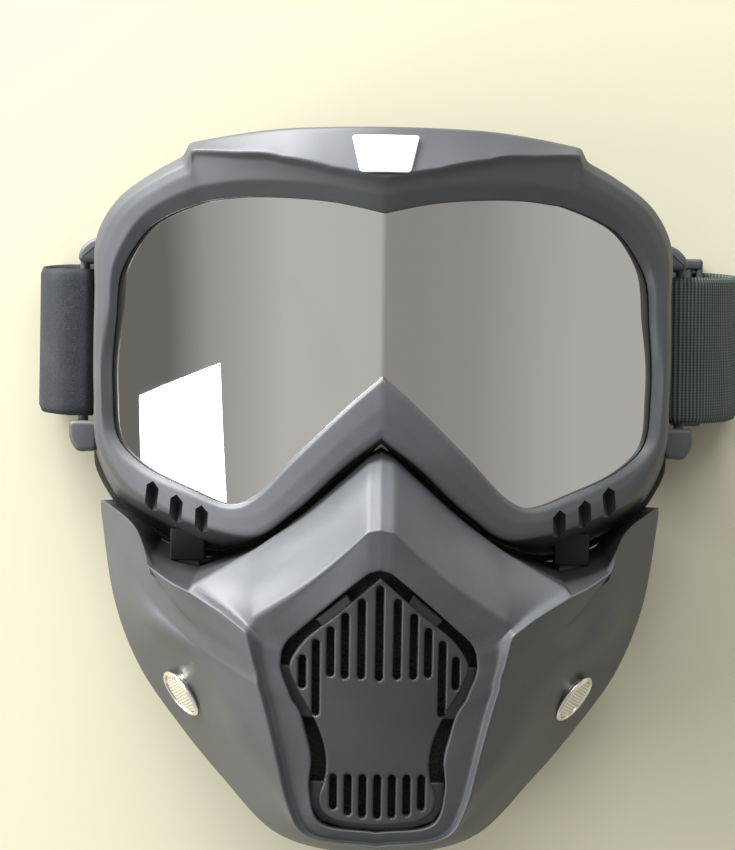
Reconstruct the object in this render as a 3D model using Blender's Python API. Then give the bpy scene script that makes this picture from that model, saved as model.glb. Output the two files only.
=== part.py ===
"""Riding goggles with a clip-on face mask, lying on their back with the front facing up.

+X is the wearer's left, +Y points from the chin to the forehead and +Z out of the face.
The origin is on the surface that the goggles lie on, under the middle of the object.
Lengths are in millimetres here and are turned into metres when a mesh is made.
"""

import math

import bmesh
import bpy
import numpy as np
from mathutils import Matrix, Vector

MM = 0.001
GAP = 0.3

# Lens: a wrapped sheet with a soft fold down the middle.
LENS_TOP_Z = 80.0
LENS_FOLD = 0.06
LENS_WRAP = 0.0040
LENS_CROWN = 0.0008
LENS_MID_Y = 33.0
LENS_THICK = 2.0
LENS_TUCK = 2.0

# Wearer's face, which the foam follows.
FACE_TOP_Z = 38.8
FACE_WRAP = 0.0049
NOSE_LIFT = 14.0
NOSE_HALF_WIDTH = 17.0

# Goggle frame and its foam.
FRAME_WALL = 3.0
GROOVE_DEPTH = 4.4
FLANGE_WIDTH = 9.0
FLANGE_THICK = 2.2
FOAM_THICK = 11.5
FLEECE_THICK = 0.9
SOFT_GAP = 0.8
NOTCH_DEPTH = 4.6

# Strap and its fittings.
STRAP_WIDTH = 44.0
STRAP_THICK = 1.8
STRAP_MID_Y = 46.0
BAR_X = 89.8
BAR_Z = 27.0
BAR_RADIUS = 1.5
ADJUSTER_LENGTH = 9.0
ADJUSTER_THICK = 3.4
ADJUSTER_RAIL = 3.5
ADJUSTER_BAR = 2.0
ADJUSTERS = {"left": 95.6, "right": -66.0}

# Mask.
SHELL_THICK = 2.4
VENT_TOP_Z = 103.0
VENT_TOP_Y = -19.0
VENT_SLOPE = 0.218
VENT_WRAP = 0.0045
VENT_WALL = 4.5
GRILLE_SINK = 0.5
GRILLE_THICK = 2.0
BRIDGE_SINK = 2.2
BRIDGE_THICK = 1.5
SLOT_WIDTH = 2.0
FILTER_THICK = 6.0
RETAINER_THICK = 2.0
RETAINER_WINDOWS = ((11.0, -33.0, -43.0), (15.0, -46.0, -60.0), (13.0, -63.0, -87.0))
EYELET_CENTRE = (55.5, -58.5, 54.5)
EYELET_NORMAL = (0.725, -0.544, 0.42)
EYELET_RADIUS = 7.7
EYELET_TUBE = 6.0
EYELET_BORE = 5.2


def lens_z(x, y):
    """Height of the lens's outer surface: a fold, a wrap to the sides and a slight crown."""
    return LENS_TOP_Z - LENS_FOLD * abs(x) - LENS_WRAP * x * x - LENS_CROWN * (y - LENS_MID_Y) ** 2


def face_z(x, y):
    """Height of the face under the foam: a wrapped brow with the nose lifted out of it."""
    below_brow = np.clip((60.0 - y) / 40.0, 0.0, 1.0)
    nose = NOSE_LIFT * np.exp(-((x / NOSE_HALF_WIDTH) ** 2)) * below_brow**2 * (3 - 2 * below_brow)
    return FACE_TOP_Z - FACE_WRAP * x * x + nose


def vent_z(x, y):
    """Height of the mask's vent panel, which leans back towards the chin."""
    return VENT_TOP_Z + VENT_SLOPE * (y - VENT_TOP_Y) - VENT_WRAP * x * x


# ---------------------------------------------------------------- curves and meshes


def smooth_path(points, sharp, per_span):
    """A cubic curve through the points along axis 0, with a corner at each sharp one."""
    points = np.asarray(points, float)
    shape = (-1,) + (1,) * (points.ndim - 1)
    steps = np.diff(points, axis=0)
    chord = np.linalg.norm(steps.reshape(len(steps), -1), axis=1).reshape(shape) + 1e-9
    straight = steps / chord
    blended = (straight[1:] * chord[:-1] + straight[:-1] * chord[1:]) / (chord[1:] + chord[:-1])
    leaving = np.concatenate([straight[:1], blended])
    arriving = np.concatenate([blended, straight[-1:]])
    for k in sharp:
        if 0 < k < len(points) - 1:
            leaving[k] = straight[k]
            arriving[k - 1] = straight[k - 1]
    t = (np.arange(per_span) / per_span).reshape(shape)
    t2, t3 = t * t, t * t * t
    spans = [
        (2 * t3 - 3 * t2 + 1) * points[k]
        + (t3 - 2 * t2 + t) * leaving[k] * chord[k]
        + (3 * t2 - 2 * t3) * points[k + 1]
        + (t3 - t2) * arriving[k] * chord[k]
        for k in range(len(steps))
    ]
    return np.concatenate(spans + [points[-1:]])


def rounded_profile(points, radii):
    """Straight runs round the loop of points along axis 1, with a chamfer at each corner that has a radius."""
    rows = []
    count = points.shape[1]
    for k in range(count):
        here = points[:, k]
        if radii[k] == 0:
            rows.append(here)
            continue
        for other in (points[:, k - 1], points[:, (k + 1) % count]):
            away = other - here
            length = np.linalg.norm(away, axis=-1, keepdims=True) + 1e-9
            rows.append(here + away * np.minimum(0.4, radii[k] / length))
    return np.stack(rows, axis=1)


def both_sides(half):
    """Stations from the top middle round to the bottom middle, followed by their mirror images."""
    other = half[1:-1][::-1].copy()
    other[..., 0] *= -1
    return np.concatenate([half, other])


def add_object(name, mesh, material, parent=None):
    obj = bpy.data.objects.new(name, mesh)
    bpy.context.scene.collection.objects.link(obj)
    if material is not None:
        mesh.materials.append(material)
    if parent is not None:
        obj.parent = parent
        obj.matrix_parent_inverse = Matrix.Translation(-parent.location)
    return obj


def finish_mesh(name, built):
    """A mesh from a bmesh in metres, with its faces turned outwards and its round parts smooth."""
    bmesh.ops.recalc_face_normals(built, faces=built.faces)
    mesh = bpy.data.meshes.new(name)
    built.to_mesh(mesh)
    built.free()
    mesh.shade_smooth()
    mesh.set_sharp_from_angle(angle=math.radians(35))
    return mesh


def mesh_from(name, points, faces):
    """A mesh from points in millimetres and the corners of each face."""
    drawn = bpy.data.meshes.new(name)
    drawn.from_pydata((np.asarray(points).reshape(-1, 3) * MM).tolist(), [], faces)
    built = bmesh.new()
    built.from_mesh(drawn)
    bpy.data.meshes.remove(drawn)
    return finish_mesh(name, built)


def ring_solid(name, grid, material, parent=None):
    """A closed body from a grid that is a loop both ways, as a frame around a hole is."""
    index = np.arange(grid.shape[0] * grid.shape[1]).reshape(grid.shape[:2])
    right, down = np.roll(index, -1, axis=1), np.roll(index, -1, axis=0)
    corner = np.roll(down, -1, axis=1)
    faces = np.stack([index, right, corner, down], axis=-1).reshape(-1, 4).tolist()
    return add_object(name, mesh_from(name, grid, faces), material, parent)


def tube_solid(name, grid, material, parent=None):
    """A closed body from a grid whose columns make a loop and whose two end rows are capped."""
    index = np.arange(grid.shape[0] * grid.shape[1]).reshape(grid.shape[:2])
    right = np.roll(index, -1, axis=1)
    faces = np.stack([index[:-1], right[:-1], right[1:], index[1:]], axis=-1).reshape(-1, 4).tolist()
    faces += [index[0].tolist(), index[-1][::-1].tolist()]
    return add_object(name, mesh_from(name, grid, faces), material, parent)


def sheet_solid(name, front, back, material, parent=None):
    """A closed body between two grids of the same size, joined round their edges."""
    size = front.shape[0] * front.shape[1]
    a = np.arange(size).reshape(front.shape[:2])
    quads = np.stack([a[:-1, :-1], a[:-1, 1:], a[1:, 1:], a[1:, :-1]], -1).reshape(-1, 4)
    rim = np.concatenate([a[0, :-1], a[:-1, -1], a[-1, :0:-1], a[:0:-1, 0]])
    nxt = np.roll(rim, -1)
    faces = np.concatenate([quads, quads + size, np.stack([rim, nxt, nxt + size, rim + size], -1)])
    points = np.concatenate([front.reshape(-1, 3), back.reshape(-1, 3)])
    return add_object(name, mesh_from(name, points, faces.tolist()), material, parent)


def prism(name, outline, low, high, material=None, parent=None):
    """A closed body with the outline in X and Y, between two heights, numbers or one for each point."""
    outline = np.asarray(outline, float)
    count = len(outline)
    bottom = np.column_stack([outline, np.broadcast_to(low, count)])
    top = np.column_stack([outline, np.broadcast_to(high, count)])
    side = np.arange(count)
    nxt = np.roll(side, -1)
    faces = np.stack([side, nxt, nxt + count, side + count], -1).tolist()
    faces += [side[::-1].tolist(), (side + count).tolist()]
    return add_object(name, mesh_from(name, np.concatenate([bottom, top]), faces), material, parent)


def box(name, low, high, material=None, parent=None):
    """A box between two opposite corners."""
    outline = [(low[0], low[1]), (high[0], low[1]), (high[0], high[1]), (low[0], high[1])]
    return prism(name, outline, low[2], high[2], material, parent)


def rod(name, start, end, radius, sides, material=None, parent=None):
    """A round bar between two points."""
    start, end = Vector(start) * MM, Vector(end) * MM
    turn = (end - start).to_track_quat("Z", "Y").to_matrix().to_4x4()
    built = bmesh.new()
    bmesh.ops.create_cone(
        built,
        cap_ends=True,
        segments=sides,
        radius1=radius * MM,
        radius2=radius * MM,
        depth=(end - start).length,
        matrix=Matrix.Translation((start + end) / 2) @ turn,
    )
    return add_object(name, finish_mesh(name, built), material, parent)


def turned_ring(name, profile, centre, axis, sides, material, parent=None):
    """A ring that a closed outline of radii and heights makes when it turns about the axis."""
    turn = np.array(Vector(axis).to_track_quat("Z", "Y").to_matrix())
    angle = np.arange(sides) * 2 * math.pi / sides
    radius, height = np.asarray(profile, float).T
    grid = np.stack(
        [
            np.cos(angle)[:, None] * radius,
            np.sin(angle)[:, None] * radius,
            np.broadcast_to(height, (sides, len(height))),
        ],
        axis=-1,
    )
    return ring_solid(name, grid @ turn.T + np.asarray(centre), material, parent)


def boolean(obj, other, operation):
    """Cuts or joins with a helper that isn't part of the model itself."""
    other.hide_render = True
    other.display_type = "WIRE"
    change = obj.modifiers.new(f"{operation.lower()} {other.name}", "BOOLEAN")
    change.operation = operation
    change.object = other
    change.solver = "EXACT"


def plain_material(name, colour, roughness, metallic=0.0):
    made = bpy.data.materials.new(name)
    made.use_nodes = True
    shader = made.node_tree.nodes["Principled BSDF"]
    shader.inputs["Base Color"].default_value = (*colour, 1.0)
    shader.inputs["Roughness"].default_value = roughness
    shader.inputs["Metallic"].default_value = metallic
    return made


# ---------------------------------------------------------------- goggle frame

# Each station, from the middle of the brow round one side to the nose, is a cut across the frame:
# the lens's edge, the front's outer edge and the wall's rear edge, each as X and Y.
FRAME_CUTS = [
    ((0.0, 77.6), (0.0, 101.3), (0.0, 104.0)),
    ((14.0, 80.6), (15.5, 101.3), (16.0, 104.0)),
    ((27.0, 82.0), (30.0, 101.0), (31.0, 103.6)),
    ((40.0, 82.4), (44.0, 99.7), (45.5, 102.0)),
    ((50.0, 81.6), (55.5, 98.2), (57.5, 100.3)),
    ((51.8, 81.2), (57.5, 94.5), (59.5, 96.0)),
    ((59.8, 78.6), (66.0, 90.5), (68.5, 92.5)),
    ((68.5, 73.5), (77.5, 83.0), (80.0, 85.0)),
    ((75.3, 63.5), (83.5, 73.5), (84.8, 75.0)),
    ((77.2, 48.5), (84.0, 56.0), (85.0, 58.0)),
    ((78.0, 28.0), (83.8, 27.0), (85.0, 30.0)),
    ((76.3, 14.5), (82.5, 12.5), (88.0, 12.5)),
    ((69.0, 7.0), (75.0, 0.5), (81.0, -2.5)),
    ((54.0, 0.0), (60.0, -7.5), (64.0, -14.5)),
    ((42.0, -4.0), (47.5, -11.5), (48.5, -19.0)),
    ((35.5, -1.5), (36.0, -13.0), (36.5, -16.0)),
    ((24.5, 9.5), (24.5, -6.0), (24.0, -7.0)),
    ((8.0, 25.5), (8.0, 9.0), (7.8, 7.8)),
    ((0.0, 32.5), (0.0, 15.0), (0.0, 13.8)),
]
FRAME_CORNERS = (4, 5)
# At the same stations: the bevel's width and height over the lens, the share of the width where the
# brow plate's step starts and ends, that step's foot and top, and the height of the outer edge.
FRAME_RELIEF = [
    (4.4, 5.0, 0.31, 0.37, 5.8, 8.5, 3.5),
    (4.4, 5.0, 0.34, 0.42, 5.8, 8.5, 3.5),
    (4.4, 5.0, 0.46, 0.55, 5.9, 8.5, 3.5),
    (4.4, 5.0, 0.59, 0.69, 6.0, 8.0, 3.5),
    (4.3, 5.0, 0.73, 0.84, 6.0, 7.5, 3.5),
    (4.3, 5.0, 0.55, 0.80, 5.9, 5.4, 2.8),
    (4.0, 5.0, 0.55, 0.80, 5.9, 5.4, 2.8),
    (3.5, 5.0, 0.55, 0.80, 5.8, 5.3, 2.8),
    (3.0, 4.6, 0.55, 0.80, 5.4, 5.0, 2.8),
    (2.6, 4.2, 0.55, 0.80, 5.0, 4.8, 2.8),
    (2.6, 4.2, 0.55, 0.80, 5.0, 4.8, 2.8),
    (2.2, 3.8, 0.55, 0.80, 4.6, 4.6, 2.8),
    (1.8, 3.2, 0.50, 0.80, 4.2, 4.4, 2.9),
    (1.5, 2.8, 0.50, 0.80, 4.0, 4.2, 3.0),
    (1.4, 2.6, 0.50, 0.80, 4.0, 4.2, 3.0),
    (1.4, 2.6, 0.50, 0.80, 4.0, 4.2, 3.0),
    (1.4, 2.6, 0.50, 0.80, 4.0, 4.2, 3.0),
    (1.4, 2.6, 0.50, 0.80, 4.0, 4.2, 3.0),
    (1.4, 2.6, 0.50, 0.80, 4.0, 4.2, 3.0),
]
FRAME_RADII = [0, 0.4, 1.6, 0.8, 0.8, 1.2, 0.8, 0, 0, 0, 0, 0, 0, 0, 0, 0]
FRAME_STEPS = 3
NOTCHES = ((65.2, -4.6, 6.0), (57.9, -8.4, 4.0), (50.4, -11.2, 2.0))
NOTCH_OUTLINE = ((-1.7, 4.6), (1.7, 4.0), (1.9, -3.5), (0.4, -5.5), (-1.9, -4.5))
TONGUE_X = 55.5
TONGUE_WIDTH = 7.0
TONGUE_THICK = 2.0
TONGUE_Z = 50.0
TONGUE_TOP_Z = 71.0
TONGUE_ROOT_Y = -36.0
TONGUE_TIP_Y = -15.5
SOCKET_WALL = 1.6
SOCKET_MOUTH_Y = -21.0
SOCKET_ROOT_Y = -11.7
EAR_OUTLINE = ((83.8, 66.5), (91.6, 66.5), (91.0, 70.5), (87.5, 73.5), (83.2, 74.5))
EAR_HEIGHTS = (20.0, 33.0)
LUG_OUTLINE = ((85.0, 10.0), (91.0, 9.5), (93.6, 13.5), (93.6, 19.0), (84.4, 19.0))
LUG_HEIGHTS = (19.0, 32.0)


class FrameStations:
    """The cuts across the frame, smoothed between the given ones and mirrored to go all the way round."""

    def __init__(self, steps):
        cuts = both_sides(smooth_path(FRAME_CUTS, FRAME_CORNERS, steps))
        relief = smooth_path(FRAME_RELIEF, FRAME_CORNERS, steps)
        self.relief = np.concatenate([relief, relief[1:-1][::-1]])
        self.lens_edge, self.front_edge, self.rear_edge = cuts[:, 0], cuts[:, 1], cuts[:, 2]
        across = self.front_edge - self.lens_edge
        self.width = np.linalg.norm(across, axis=1, keepdims=True)
        self.out = across / self.width
        self.rear_height = face_z(*self.rear_edge.T) + FLEECE_THICK + FOAM_THICK + 2 * SOFT_GAP

    def over_lens(self, share, offset, height):
        """Points at a share of the width and an offset from the lens's edge, at a height over the lens."""
        place = self.lens_edge + self.out * (self.width * np.reshape(share, (-1, 1)) + np.reshape(offset, (-1, 1)))
        return np.column_stack([place, lens_z(*place.T) + height])

    def behind(self, offset, height):
        """Points inside the rear edge by an offset, at a height over the wall's rear."""
        place = self.rear_edge - self.out * offset
        return np.column_stack([place, self.rear_height + height])

    def profiles(self):
        """The frame's cross-section at each station, a loop from the lens's edge over the front and back inside."""
        bevel, bevel_height, foot, top, foot_height, top_height, edge_height = self.relief.T
        roomy = np.clip((self.width[:, 0] - 9.0) / 5.0, 0.0, 1.0)
        roof = -7.0 + roomy * (edge_height + 3.0)
        return np.stack(
            [
                self.over_lens(0, 0, GAP),
                self.over_lens(0, 0, 1.3),
                self.over_lens(0, bevel, bevel_height),
                self.over_lens(foot, 0, foot_height),
                self.over_lens(top, 0, top_height),
                self.over_lens(1, 0, edge_height),
                self.behind(0, 0),
                self.behind(FLANGE_WIDTH, 0),
                self.behind(FLANGE_WIDTH, FLANGE_THICK),
                self.behind(FRAME_WALL, FLANGE_THICK),
                self.over_lens(1, -np.minimum(3.2, 0.42 * self.width[:, 0]), roof),
                self.over_lens(0, 3.5, -7.0),
                self.over_lens(0, 0.5, -6.6),
                self.over_lens(0, 0.5, -GROOVE_DEPTH),
                self.over_lens(0, LENS_TUCK + 0.6, -GROOVE_DEPTH),
                self.over_lens(0, LENS_TUCK + 0.6, GAP),
            ],
            axis=1,
        )


def make_frame(plastic):
    """The moulded frame with its strap ears, strap bars and vent notches."""
    grid = rounded_profile(FrameStations(FRAME_STEPS).profiles(), FRAME_RADII)
    frame = ring_solid("goggle_frame", grid, plastic)
    for side in (1, -1):
        bar_ends = (side * BAR_X, 17.5, BAR_Z), (side * BAR_X, 68.0, BAR_Z)
        ear = [(side * x, y) for x, y in EAR_OUTLINE]
        lug = [(side * x, y) for x, y in LUG_OUTLINE]
        boolean(frame, prism(f"ear {side}", ear, *EAR_HEIGHTS), "UNION")
        boolean(frame, prism(f"lug {side}", lug, *LUG_HEIGHTS), "UNION")
        boolean(frame, rod(f"strap bar {side}", *bar_ends, BAR_RADIUS, 10), "UNION")
        x, half = side * TONGUE_X, TONGUE_WIDTH / 2
        low, high = TONGUE_Z - SOCKET_WALL, TONGUE_Z + TONGUE_THICK + SOCKET_WALL
        outer = (x - half - SOCKET_WALL, SOCKET_MOUTH_Y, low), (x + half + SOCKET_WALL, SOCKET_ROOT_Y, high)
        inner = (
            (x - half - GAP, SOCKET_MOUTH_Y - 5, TONGUE_Z - GAP),
            (x + half + GAP, TONGUE_TIP_Y + 1, TONGUE_Z + TONGUE_THICK + GAP),
        )
        boolean(frame, box(f"socket {side}", *outer), "UNION")
        boolean(frame, box(f"socket mouth {side}", *inner), "DIFFERENCE")
        for number, (x, y, lean) in enumerate(NOTCHES):
            turn = math.radians(lean)
            outline = [
                (
                    side * (x + px * math.cos(turn) - py * math.sin(turn)),
                    y + px * math.sin(turn) + py * math.cos(turn),
                )
                for px, py in NOTCH_OUTLINE
            ]
            floor = lens_z(x, y) - NOTCH_DEPTH + 3.5
            boolean(frame, prism(f"notch {side} {number}", outline, floor, floor + 20), "DIFFERENCE")
    return frame


def make_lens(tinted):
    """The lens, tucked into the frame's groove all round."""
    stations = FrameStations(FRAME_STEPS)
    outline = stations.lens_edge + stations.out * LENS_TUCK
    half = len(outline) // 2 + 1
    right = outline[:half]
    turn = int(np.argmax(right[:, 0]))
    reach = right[turn, 0] - 0.5
    x = reach * np.sin(np.linspace(-1, 1, 37) * math.pi / 2)
    upper = np.interp(abs(x), right[: turn + 1, 0], right[: turn + 1, 1])
    lower = np.interp(abs(x), right[turn:, 0][::-1], right[turn:, 1][::-1])
    share = np.linspace(0, 1, 9)
    y = lower[:, None] + (upper - lower)[:, None] * share
    x = np.broadcast_to(x[:, None], y.shape)
    front = np.stack([x, y, lens_z(x, y)], axis=-1)
    return sheet_solid("lens", front, front - (0, 0, LENS_THICK), tinted)


def make_ring_between(name, corners, material):
    return ring_solid(name, np.stack(corners, axis=1), material)


def make_soft_rings(rubber, foam, fleece):
    """The seal behind the lens, the face foam on the flange and the fleece that touches the face."""
    stations = FrameStations(FRAME_STEPS)
    seal_top, seal_low = -LENS_THICK - GAP, -GROOVE_DEPTH + GAP
    make_ring_between(
        "lens_seal",
        [
            stations.over_lens(0, 0.9, seal_top),
            stations.over_lens(0, 2.2, seal_top),
            stations.over_lens(0, 2.2, seal_low),
            stations.over_lens(0, 0.9, seal_low),
        ],
        rubber,
    )
    foam_low = -SOFT_GAP - FOAM_THICK
    fleece_top = foam_low - SOFT_GAP
    make_ring_between(
        "face_foam",
        [
            stations.behind(0.6, -SOFT_GAP),
            stations.behind(0.0, foam_low * 0.5),
            stations.behind(0.6, foam_low),
            stations.behind(10.5, foam_low),
            stations.behind(10.5, -SOFT_GAP),
        ],
        foam,
    )
    make_ring_between(
        "foam_fleece",
        [
            stations.behind(0.6, fleece_top),
            stations.behind(1.2, fleece_top - FLEECE_THICK),
            stations.behind(9.9, fleece_top - FLEECE_THICK),
            stations.behind(10.5, fleece_top),
        ],
        fleece,
    )


def make_vent_foams(foam):
    """A thin foam behind each lower lobe's notches, inside the wall."""
    stations = FrameStations(FRAME_STEPS)
    first, last = 12 * FRAME_STEPS + 1, 14 * FRAME_STEPS - 1
    top = stations.over_lens(0, 4.0, -8.0)[first : last + 1]
    low = stations.behind(FRAME_WALL, FLANGE_THICK + 1.0)[first : last + 1]
    inwards = np.column_stack([-stations.out, np.zeros(len(stations.out))])[first : last + 1]
    for name, side in (("left", 1), ("right", -1)):
        grid = np.stack([top + inwards * 0.6, top + inwards * 2.4, low + inwards * 2.8, low + inwards * 1.0], axis=1)
        tube_solid(f"lower_vent_foam_{name}", grid * (side, 1, 1), foam)


def make_badge(white):
    """The plain badge on the brow plate."""
    across = np.linspace(-1, 1, 9)
    rows = []
    for share in np.linspace(0, 1, 4):
        y = 88.0 + 10.6 * share
        x = across * (7.0 + 2.3 * share)
        height = lens_z(x, y) + 8.5 - 5.0 * (y - 86.5) / 14.5
        rows.append(np.column_stack([x, np.full_like(x, y), height]))
    lower = np.stack(rows) + (0, 0, 0.5)
    sheet_solid("brow_badge", lower + (0, 0, 1.0), lower, white)


# ---------------------------------------------------------------- strap

# A strap end's middle line in X and Z, and its middle Y: from its sewn tail round the bar, out over the
# side, round the fold and back under the goggles.
STRAP_TURN = [(95.5, 21.6, 42.5), (92.2, 23.6, 42.5)]
STRAP_RUN = [(95.0, 28.6, 42.6), (100.0, 23.0, 43.0), (103.9, 14.0, 43.8), (104.6, 7.0, 44.8)]


def strap_line(fold_x, end_x):
    """The middle line of one strap end, as X, Y and Z at x > 0."""
    wrap = BAR_RADIUS + GAP + STRAP_THICK / 2
    shift = fold_x - STRAP_RUN[-1][0]
    points = [(x, y, z) for x, z, y in STRAP_TURN]
    for angle in (250, 205, 160, 115, 70):
        turn = math.radians(angle)
        points.append((BAR_X + wrap * math.cos(turn), 42.5, BAR_Z + wrap * math.sin(turn)))
    points += [(x + shift * k / 3, y, z) for k, (x, z, y) in enumerate(STRAP_RUN)]
    points.append((fold_x - 2.4, 45.6, 2.2))
    points.append((fold_x - 6.5, STRAP_MID_Y, STRAP_THICK / 2))
    curve = smooth_path(points, (), 3)
    return np.concatenate([curve, [(end_x, STRAP_MID_Y, STRAP_THICK / 2)]])


def strap_solid(name, line, side, webbing):
    """A band along the line, wide in Y and as thick as the strap."""
    along = np.gradient(line, axis=0) * (1, 0, 1)
    along[-1] = (-1, 0, 0)
    along /= np.linalg.norm(along, axis=1, keepdims=True)
    normal = np.cross(along, (0, 1, 0))
    grid = np.stack(
        [
            line + normal * sign * STRAP_THICK / 2 + (0, edge * STRAP_WIDTH / 2, 0)
            for sign, edge in ((1, -1), (1, 1), (-1, 1), (-1, -1))
        ],
        axis=1,
    )
    return tube_solid(name, grid * (side, 1, 1), webbing)


def make_strap(webbing):
    """The two strap ends, the rear band between them and its doubled tail, all lying on the surface."""
    strap_solid("strap_end_left", strap_line(106.4, ADJUSTERS["left"] + GAP), 1, webbing)
    strap_solid("strap_end_right", strap_line(104.9, -ADJUSTERS["right"] + GAP), -1, webbing)
    half = STRAP_WIDTH / 2
    low = (ADJUSTERS["right"] + GAP, STRAP_MID_Y - half, 0.0)
    box("strap_band", low, (ADJUSTERS["left"] - GAP, STRAP_MID_Y + half, STRAP_THICK), webbing)
    tail_low = (ADJUSTERS["right"] + 20, STRAP_MID_Y - half + 0.5, STRAP_THICK + GAP)
    box("strap_tail", tail_low, (15.0, STRAP_MID_Y + half - 0.5, 2 * STRAP_THICK + GAP), webbing)


def make_adjusters(plastic):
    """A three-bar slide on each end of the rear band, its rails beside the strap and its bars over it."""
    for side, x in ADJUSTERS.items():
        half = ADJUSTER_LENGTH / 2
        inner = STRAP_WIDTH / 2 + 0.6
        outer = inner + ADJUSTER_RAIL
        pivot = bpy.data.objects.new(f"adjuster_{side}_slide", None)
        bpy.context.scene.collection.objects.link(pivot)
        pivot.location = (x * MM, STRAP_MID_Y * MM, STRAP_THICK * MM)
        low = STRAP_THICK + GAP
        body = box(
            f"strap_adjuster_{side}",
            (x - half, STRAP_MID_Y - outer, 0.5),
            (x + half, STRAP_MID_Y + outer, low + ADJUSTER_THICK),
            plastic,
            pivot,
        )
        channel = box(
            f"channel {side}", (x - 20, STRAP_MID_Y - inner, -5), (x + 20, STRAP_MID_Y + inner, low)
        )
        boolean(body, channel, "DIFFERENCE")
        for way in (-1, 1):
            near, far = x + way * ADJUSTER_BAR / 2, x + way * (half - ADJUSTER_BAR)
            slot = box(
                f"slot {side} {way}",
                (min(near, far), STRAP_MID_Y - inner, -5),
                (max(near, far), STRAP_MID_Y + inner, 20),
            )
            boolean(body, slot, "DIFFERENCE")


# ---------------------------------------------------------------- mask

# Each station, from the nose round one side to the chin, is a run of points over the shell: the vent's
# lip, the foot and top of the step around the vent, two on the panel, the outer edge and the rear rim.
MASK_CUTS = [
    ((0, -19, 103), (0, -9.5, 104.0), (0, -8.8, 104.2), (0, -1, 95.5), (0, 6, 86.5), (0, 11.5, 78), (0, 11.5, 75.6)),
    ((6.5, -23.5, 102), (9, -16, 102), (9.3, -15, 102.2), (9.8, -8, 94.5), (10, -1.5, 86.5), (10, 4, 78), (10, 4, 75.6)),
    ((16.5, -32, 99), (20, -26, 99), (20.8, -24.6, 99.4), (21.5, -18, 92.5), (22, -12, 84.5), (22.5, -7, 76), (22.5, -7, 73.6)),
    ((26.5, -40.5, 95), (31.5, -38.5, 94.5), (36, -36, 97), (35.8, -28, 91.5), (35, -21, 84), (34.5, -16, 76), (34.5, -16, 73.6)),
    ((26.5, -46, 94.5), (31.5, -45, 94), (34.5, -42, 96.5), (42, -40.5, 90.5), (49, -36, 85), (52.5, -28, 83.5), (52.5, -28, 81.1)),
    ((25, -51.5, 94), (30.5, -49, 93.5), (33, -47.5, 96), (48.5, -42, 82.5), (63, -33, 65.5), (68, -15.5, 58), (68, -15.5, 55.6)),
    ((23.5, -55.5, 93.5), (30, -53, 93), (32.5, -51.5, 95.5), (50, -43.5, 80.5), (70, -31, 52), (84, -4, 33), (83.6, -5, 2)),
    ((21, -59.5, 93), (28.5, -57, 92), (31.5, -55.5, 95), (46.5, -46.5, 82.5), (65, -40, 62), (79, -35, 32), (77.5, -34, 0.6)),
    ((19.5, -65, 92), (27.5, -64, 91), (29.5, -63.5, 93.5), (43, -54.5, 83), (58.5, -51.5, 57), (72, -52.5, 34), (69.5, -51, 6)),
    ((18, -72, 91), (25.5, -74, 89), (27, -73.5, 91.5), (37.5, -68.5, 81.5), (50, -67.5, 56), (58.5, -72, 34), (56, -69.5, 13)),
    ((18.5, -80.5, 89), (22.5, -85, 86.5), (24.5, -84.5, 89), (30, -80, 82), (39, -82.5, 60), (45, -86.5, 40), (43, -83.5, 20)),
    ((16, -89.5, 87.5), (18.5, -93, 85), (20, -93, 87.3), (21.5, -92, 82.5), (26, -95.5, 68), (30, -99, 52), (28.5, -95.5, 27)),
    ((0, -92.5, 87), (0, -96, 84.5), (0, -96.5, 87), (0, -98.5, 82.5), (0, -103.5, 71.5), (0, -105.5, 59), (0, -102.5, 32)),
]
MASK_WING = 6
MASK_CORNERS = (3, MASK_WING)
MASK_STEPS = 3
MASK_RADII = [0, 0.6, 0.5, 0.6, 3.0, 3.0, 1.5, 0.6, 0, 0, 0, 0, 0]
VENT_OUTLINE = [
    (0.0, -18.5),
    (26.0, -39.5),
    (27.5, -44.0),
    (23.5, -56.5),
    (18.2, -69.0),
    (18.2, -75.5),
    (19.0, -85.5),
    (15.5, -90.5),
    (0.0, -93.0),
]
GRILLE_OUTLINE = [
    (0.0, -21.8),
    (22.5, -42.0),
    (24.0, -46.0),
    (17.5, -60.0),
    (14.5, -67.0),
    (14.5, -78.5),
    (15.5, -85.0),
    (12.5, -88.5),
    (0.0, -90.3),
]
UPPER_SLOTS = ((0.0, -23.5, -50.0), (4.8, -27.0, -49.5), (9.2, -31.0, -49.5), (13.0, -35.5, -49.0), (17.0, -39.0, -57.5), (20.6, -43.0, -51.5))
LOWER_SLOTS = ((0.0, -76.0, -88.3), (4.0, -76.0, -88.0), (8.0, -76.0, -87.0), (12.0, -76.0, -85.5))
BRIDGES = (
    ((9.4, -27.2), (16.8, -34.0), (13.5, -36.5), (7.0, -31.0)),
    ((25.4, -46.6), (19.6, -60.2), (13.0, -58.0), (18.0, -46.0)),
    (
        (17.5, -80.5),
        (17.1, -85.0),
        (13.8, -89.0),
        (0.0, -91.8),
        (-13.8, -89.0),
        (-17.1, -85.0),
        (-17.5, -80.5),
        (-13.6, -80.5),
        (-13.8, -86.0),
        (0.0, -89.4),
        (13.8, -86.0),
        (13.6, -80.5),
    ),
)


def mitred_inward(loop):
    """For each point of a closed loop seen from +Z, the offset that moves both its edges inwards by one."""
    edges = (np.roll(loop, -1, axis=0) - loop) * (1, 1, 0)
    facing = np.cross((0, 0, -1), edges / np.linalg.norm(edges, axis=1, keepdims=True))
    both = facing + np.roll(facing, 1, axis=0)
    return 2 * both / np.maximum(1.2, np.sum(both * both, axis=1, keepdims=True))


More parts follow.
